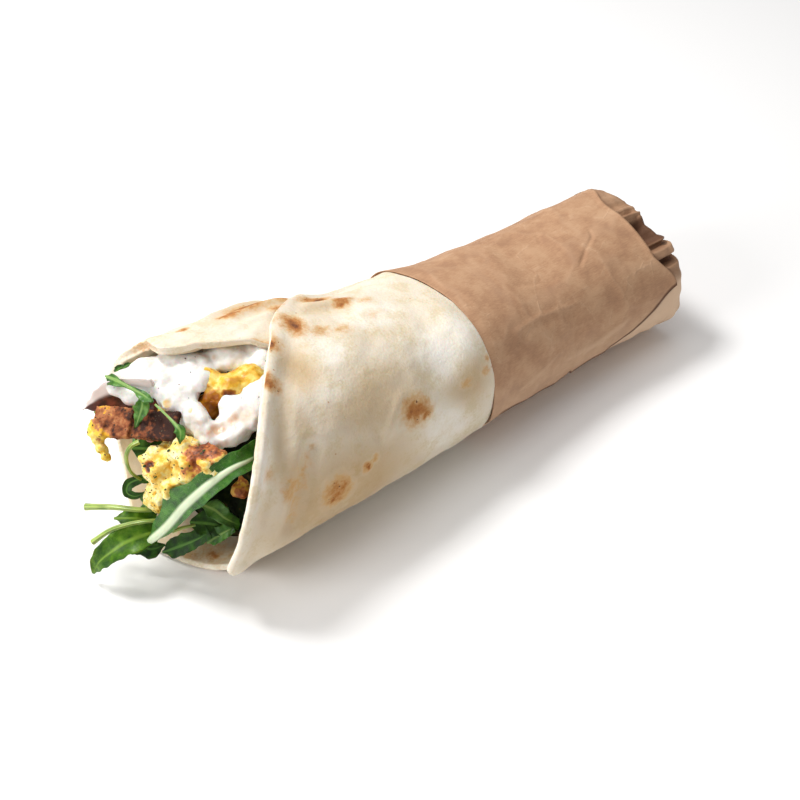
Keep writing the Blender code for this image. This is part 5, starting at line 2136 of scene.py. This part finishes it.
@dataclass
class PackedCore:
    """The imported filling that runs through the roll, rough where it shows between the pieces."""

    roll: Roll
    inset: float = 8.2
    rear_x: float = 84.0
    front_x: float = -93.5
    columns: int = 120
    front_rows: int = 34

    def front(self, angle: float) -> float:
        """Where it ends behind the pieces that show."""
        side, rise = math.cos(math.radians(angle)), math.sin(math.radians(angle))
        return self.front_x + 11.5 * smooth(0.1, 1.0, rise) - 7.5 * smooth(0.0, -1.0, rise) - 3.5 * side

    def build(self) -> Object:
        """Makes the mass, with leaves and egg pressed into relief on its open end.

        Returns:
            The mass.
        """
        shell = Shell("packed_core")
        angles = [360.0 * k / self.columns for k in range(self.columns)]
        rings = []
        for r in range(1, self.front_rows):
            inward = r / self.front_rows
            ring = []
            for angle in angles:
                x = self.front(angle)
                edge = self.roll.point(x, angle, -self.inset)
                axis = Vector((x, self.roll.side_lean, self.roll.mouth_height * self.roll.axis_share))
                spot = axis.lerp(edge, inward)
                lump = 1.6 * rough(spot, 8.0) + 1.0 * abs(noise.noise(spot / 3.2)) + 0.4 * rough(spot, 1.6)
                spot.x += lump - 3.0 * (1.0 - inward)
                ring.append(spot)
            rings.append(shell.row(ring))
        for share in (0.0, 0.02, 0.05, 0.09, 0.14, 0.22, 0.32, 0.45, 0.6, 0.8, 1.0):
            ring = []
            for angle in angles:
                x = self.front(angle) + (self.rear_x - self.front(angle)) * share
                spot = self.roll.point(x, angle, -self.inset)
                ring.append(self.roll.point(x, angle, -self.inset - 0.8 - 0.8 * noise.noise(spot / 6.0)))
            rings.append(shell.row(ring))
        for first, second in zip(rings[:-1], rings[1:]):
            shell.strip(first, second, closed=True)
        shell.cap(rings[0])
        shell.cap(rings[-1])
        # Its dark finish is painted shade in the gaps between the pieces.
        return dressed(shell.made(), CORE_SHADE_FINISH, "filling_core")


# Specks


@dataclass
class Specks:
    """Grains strewn over a piece by Geometry Nodes: points on its faces, and a small grain on each."""

    name: str
    finish: Finish
    per_square_cm: float
    size: float
    seed: int
    length: float = 1.5
    flatness: float = 0.45
    value: str = ""
    over: float = 0.0

    def build(self, host: Object) -> Object | None:
        """Strews the grains.

        Args:
            host: the piece that they lie on.

        Returns:
            The grains as one piece, or None where none fell.
        """
        piece = placed(self.name, host.data.copy())
        sizes = {"Density": self.per_square_cm * 1e4, "Grain size": self.size * MM, "Seed": self.seed}
        grow(piece, self.tree(), sizes)
        settled(piece)
        if not piece.data.polygons:
            bpy.data.objects.remove(piece, do_unlink=True)
            return None
        piece.data.shade_smooth()
        return dressed(piece, self.finish)

    def tree(self) -> NodeTree:
        """Makes the tree that strews this kind of grain.

        Returns:
            The tree.
        """
        number = "NodeSocketFloat"
        sizes = {"Density": (number, 1e4), "Grain size": (number, 0.0005), "Seed": ("NodeSocketInt", 1)}
        tree = Tree("strewn " + self.name, sizes)
        add, given = tree.add, tree.given.outputs
        density = given["Density"]
        if self.value:
            painted = add("GeometryNodeInputNamedAttribute", {"Name": self.value}, data_type="FLOAT")
            chosen = add("ShaderNodeMath", {0: painted, 1: self.over}, operation="GREATER_THAN")
            density = add("ShaderNodeMath", {0: chosen, 1: density}, operation="MULTIPLY")
        strewn = {"Mesh": given["Geometry"], "Density": density, "Seed": given["Seed"]}
        spots = add("GeometryNodeDistributePointsOnFaces", strewn)
        grain = add("GeometryNodeMeshIcoSphere", {"Radius": 1.0, "Subdivisions": 1})
        size = add("FunctionNodeRandomValue", {2: 0.35, 3: 1.0, "Seed": given["Seed"]}, data_type="FLOAT")
        size = add("ShaderNodeMath", {0: size.outputs[1], 1: given["Grain size"]}, operation="MULTIPLY")
        long_size = add("ShaderNodeMath", {0: size, 1: self.length}, operation="MULTIPLY")
        flat_size = add("ShaderNodeMath", {0: size, 1: self.flatness}, operation="MULTIPLY")
        scale = add("ShaderNodeCombineXYZ", {0: long_size, 1: size, 2: flat_size})
        lie = {"Points": spots.outputs["Points"], "Rotation": spots.outputs["Rotation"]}
        laid = add("GeometryNodeInstanceOnPoints", {**lie, "Instance": grain, "Scale": scale})
        turn = add("FunctionNodeRandomValue", {2: 0.0, 3: 2.0 * math.pi, "Seed": 3}, data_type="FLOAT")
        spin = add("ShaderNodeCombineXYZ", {2: turn.outputs[1]})
        turned_grains = add("GeometryNodeRotateInstances", {"Instances": laid, "Rotation": spin})
        real = add("GeometryNodeRealizeInstances", {"Geometry": turned_grains})
        material = self.finish.material()
        return tree.ended(add("GeometryNodeSetMaterial", {"Geometry": real, "Material": material}))


# Studio


@dataclass
class Studio:
    """A pale floor, soft light from above and behind, and the camera at the photograph's angle.

    Its sizes are in metres, and the lens is in millimetres.
    """

    azimuth: float = -38.0
    elevation: float = 41.0
    distance: float = 0.5
    lens: float = 60.0
    target: Point = (-0.00915, 0.0, 0.00674)
    floor_colour: str = "FAF9F8"
    floor_z: float = -0.0005
    floor_reach: float = 3.0
    sky: float = 0.34

    def build(self) -> None:
        """Makes the camera, the lights and the floor, and shows colours as they are."""
        bpy.context.scene.view_settings.view_transform = "Standard"
        self.camera()
        self.lamp("window", (-0.25, 0.42, 0.85), 0.26, 6.9)
        self.lamp("ceiling", (0.1, 0.0, 0.9), 0.5, 1.4)
        self.lamp("side window", (-0.9, 0.08, 0.5), 0.4, 4.4)
        self.floor()

    def camera(self) -> None:
        """Puts the camera where the photograph was taken from."""
        azimuth, elevation = math.radians(self.azimuth), math.radians(self.elevation)
        level = math.cos(elevation)
        back = Vector((math.sin(azimuth) * level, -math.cos(azimuth) * level, math.sin(elevation)))
        made = placed("camera", bpy.data.cameras.new("camera"))
        made.data.lens = self.lens
        made.data.sensor_width = 36.0
        made.data.clip_start = 0.01
        made.location = Vector(self.target) + back * self.distance
        made.rotation_euler = back.to_track_quat("Z", "Y").to_euler()
        bpy.context.scene.camera = made

    def lamp(self, name: str, place: Point, size: float, power: float) -> None:
        """Hangs a square soft light that faces the wrap.

        Args:
            name: what it stands for.
            place: where it hangs, in metres.
            size: its side, in metres.
            power: its power, in watts.
        """
        light = bpy.data.lights.new(name, "AREA")
        light.shape = "SQUARE"
        light.size = size
        light.energy = power
        made = placed(name, light)
        made.location = place
        made.rotation_euler = Vector(place).to_track_quat("Z", "Y").to_euler()

    def floor(self) -> None:
        """Lays the floor and sets the pale room round it."""
        world = bpy.data.worlds.new("pale room")
        world.use_nodes = True
        world.node_tree.nodes["Background"].inputs[0].default_value = linear("FFFFFF")
        world.node_tree.nodes["Background"].inputs[1].default_value = self.sky
        bpy.context.scene.world = world
        mesh = bmesh.new()
        bmesh.ops.create_grid(mesh, x_segments=1, y_segments=1, size=self.floor_reach)
        data = bpy.data.meshes.new("floor")
        mesh.to_mesh(data)
        mesh.free()
        made = placed("floor", data)
        made.location = (0.0, 0.0, self.floor_z)
        paint = bpy.data.materials.new("matt floor")
        paint.use_nodes = True
        shader = paint.node_tree.nodes["Principled BSDF"]
        shader.inputs["Base Color"].default_value = linear(self.floor_colour)
        shader.inputs["Roughness"].default_value = 0.9
        data.materials.append(paint)


def main() -> None:
    """Builds the wrap piece by piece."""
    logging.basicConfig(level=logging.INFO, format="%(name)s: %(message)s")
    Studio().build()
    roll = Roll()
    sleeve = PaperSleeve(roll)
    bread = Flatbread(roll).build(sleeve.front)
    sleeve.build()
    PackedCore(roll).build()
    hosts = {piece.node: piece.build() for piece in LUMPY_PIECES}
    for blade in LEAVES:
        blade.build()
    for stalk in STALKS:
        stalk.build()
    for node, density in (("omelette_chunk", 13.0), ("omelette_slab", 16.0), ("omelette_far", 12.0)):
        Specks("pepper_on_" + node, Spices.PEPPER.value, density, 0.3, 11).build(hosts[node])
    Specks("herbs_on_chunk", Spices.HERB.value, 2.5, 0.5, 5).build(hosts["omelette_chunk"])
    Specks("pepper_on_sauce", Spices.PEPPER.value, 0.6, 0.3, 23).build(hosts["yogurt_sauce"])
    Specks("crumbs_on_bread", Spices.CRUST.value, 9.0, 0.3, 31, value="toast", over=0.5).build(bread)


if __name__ == "__main__":
    main()
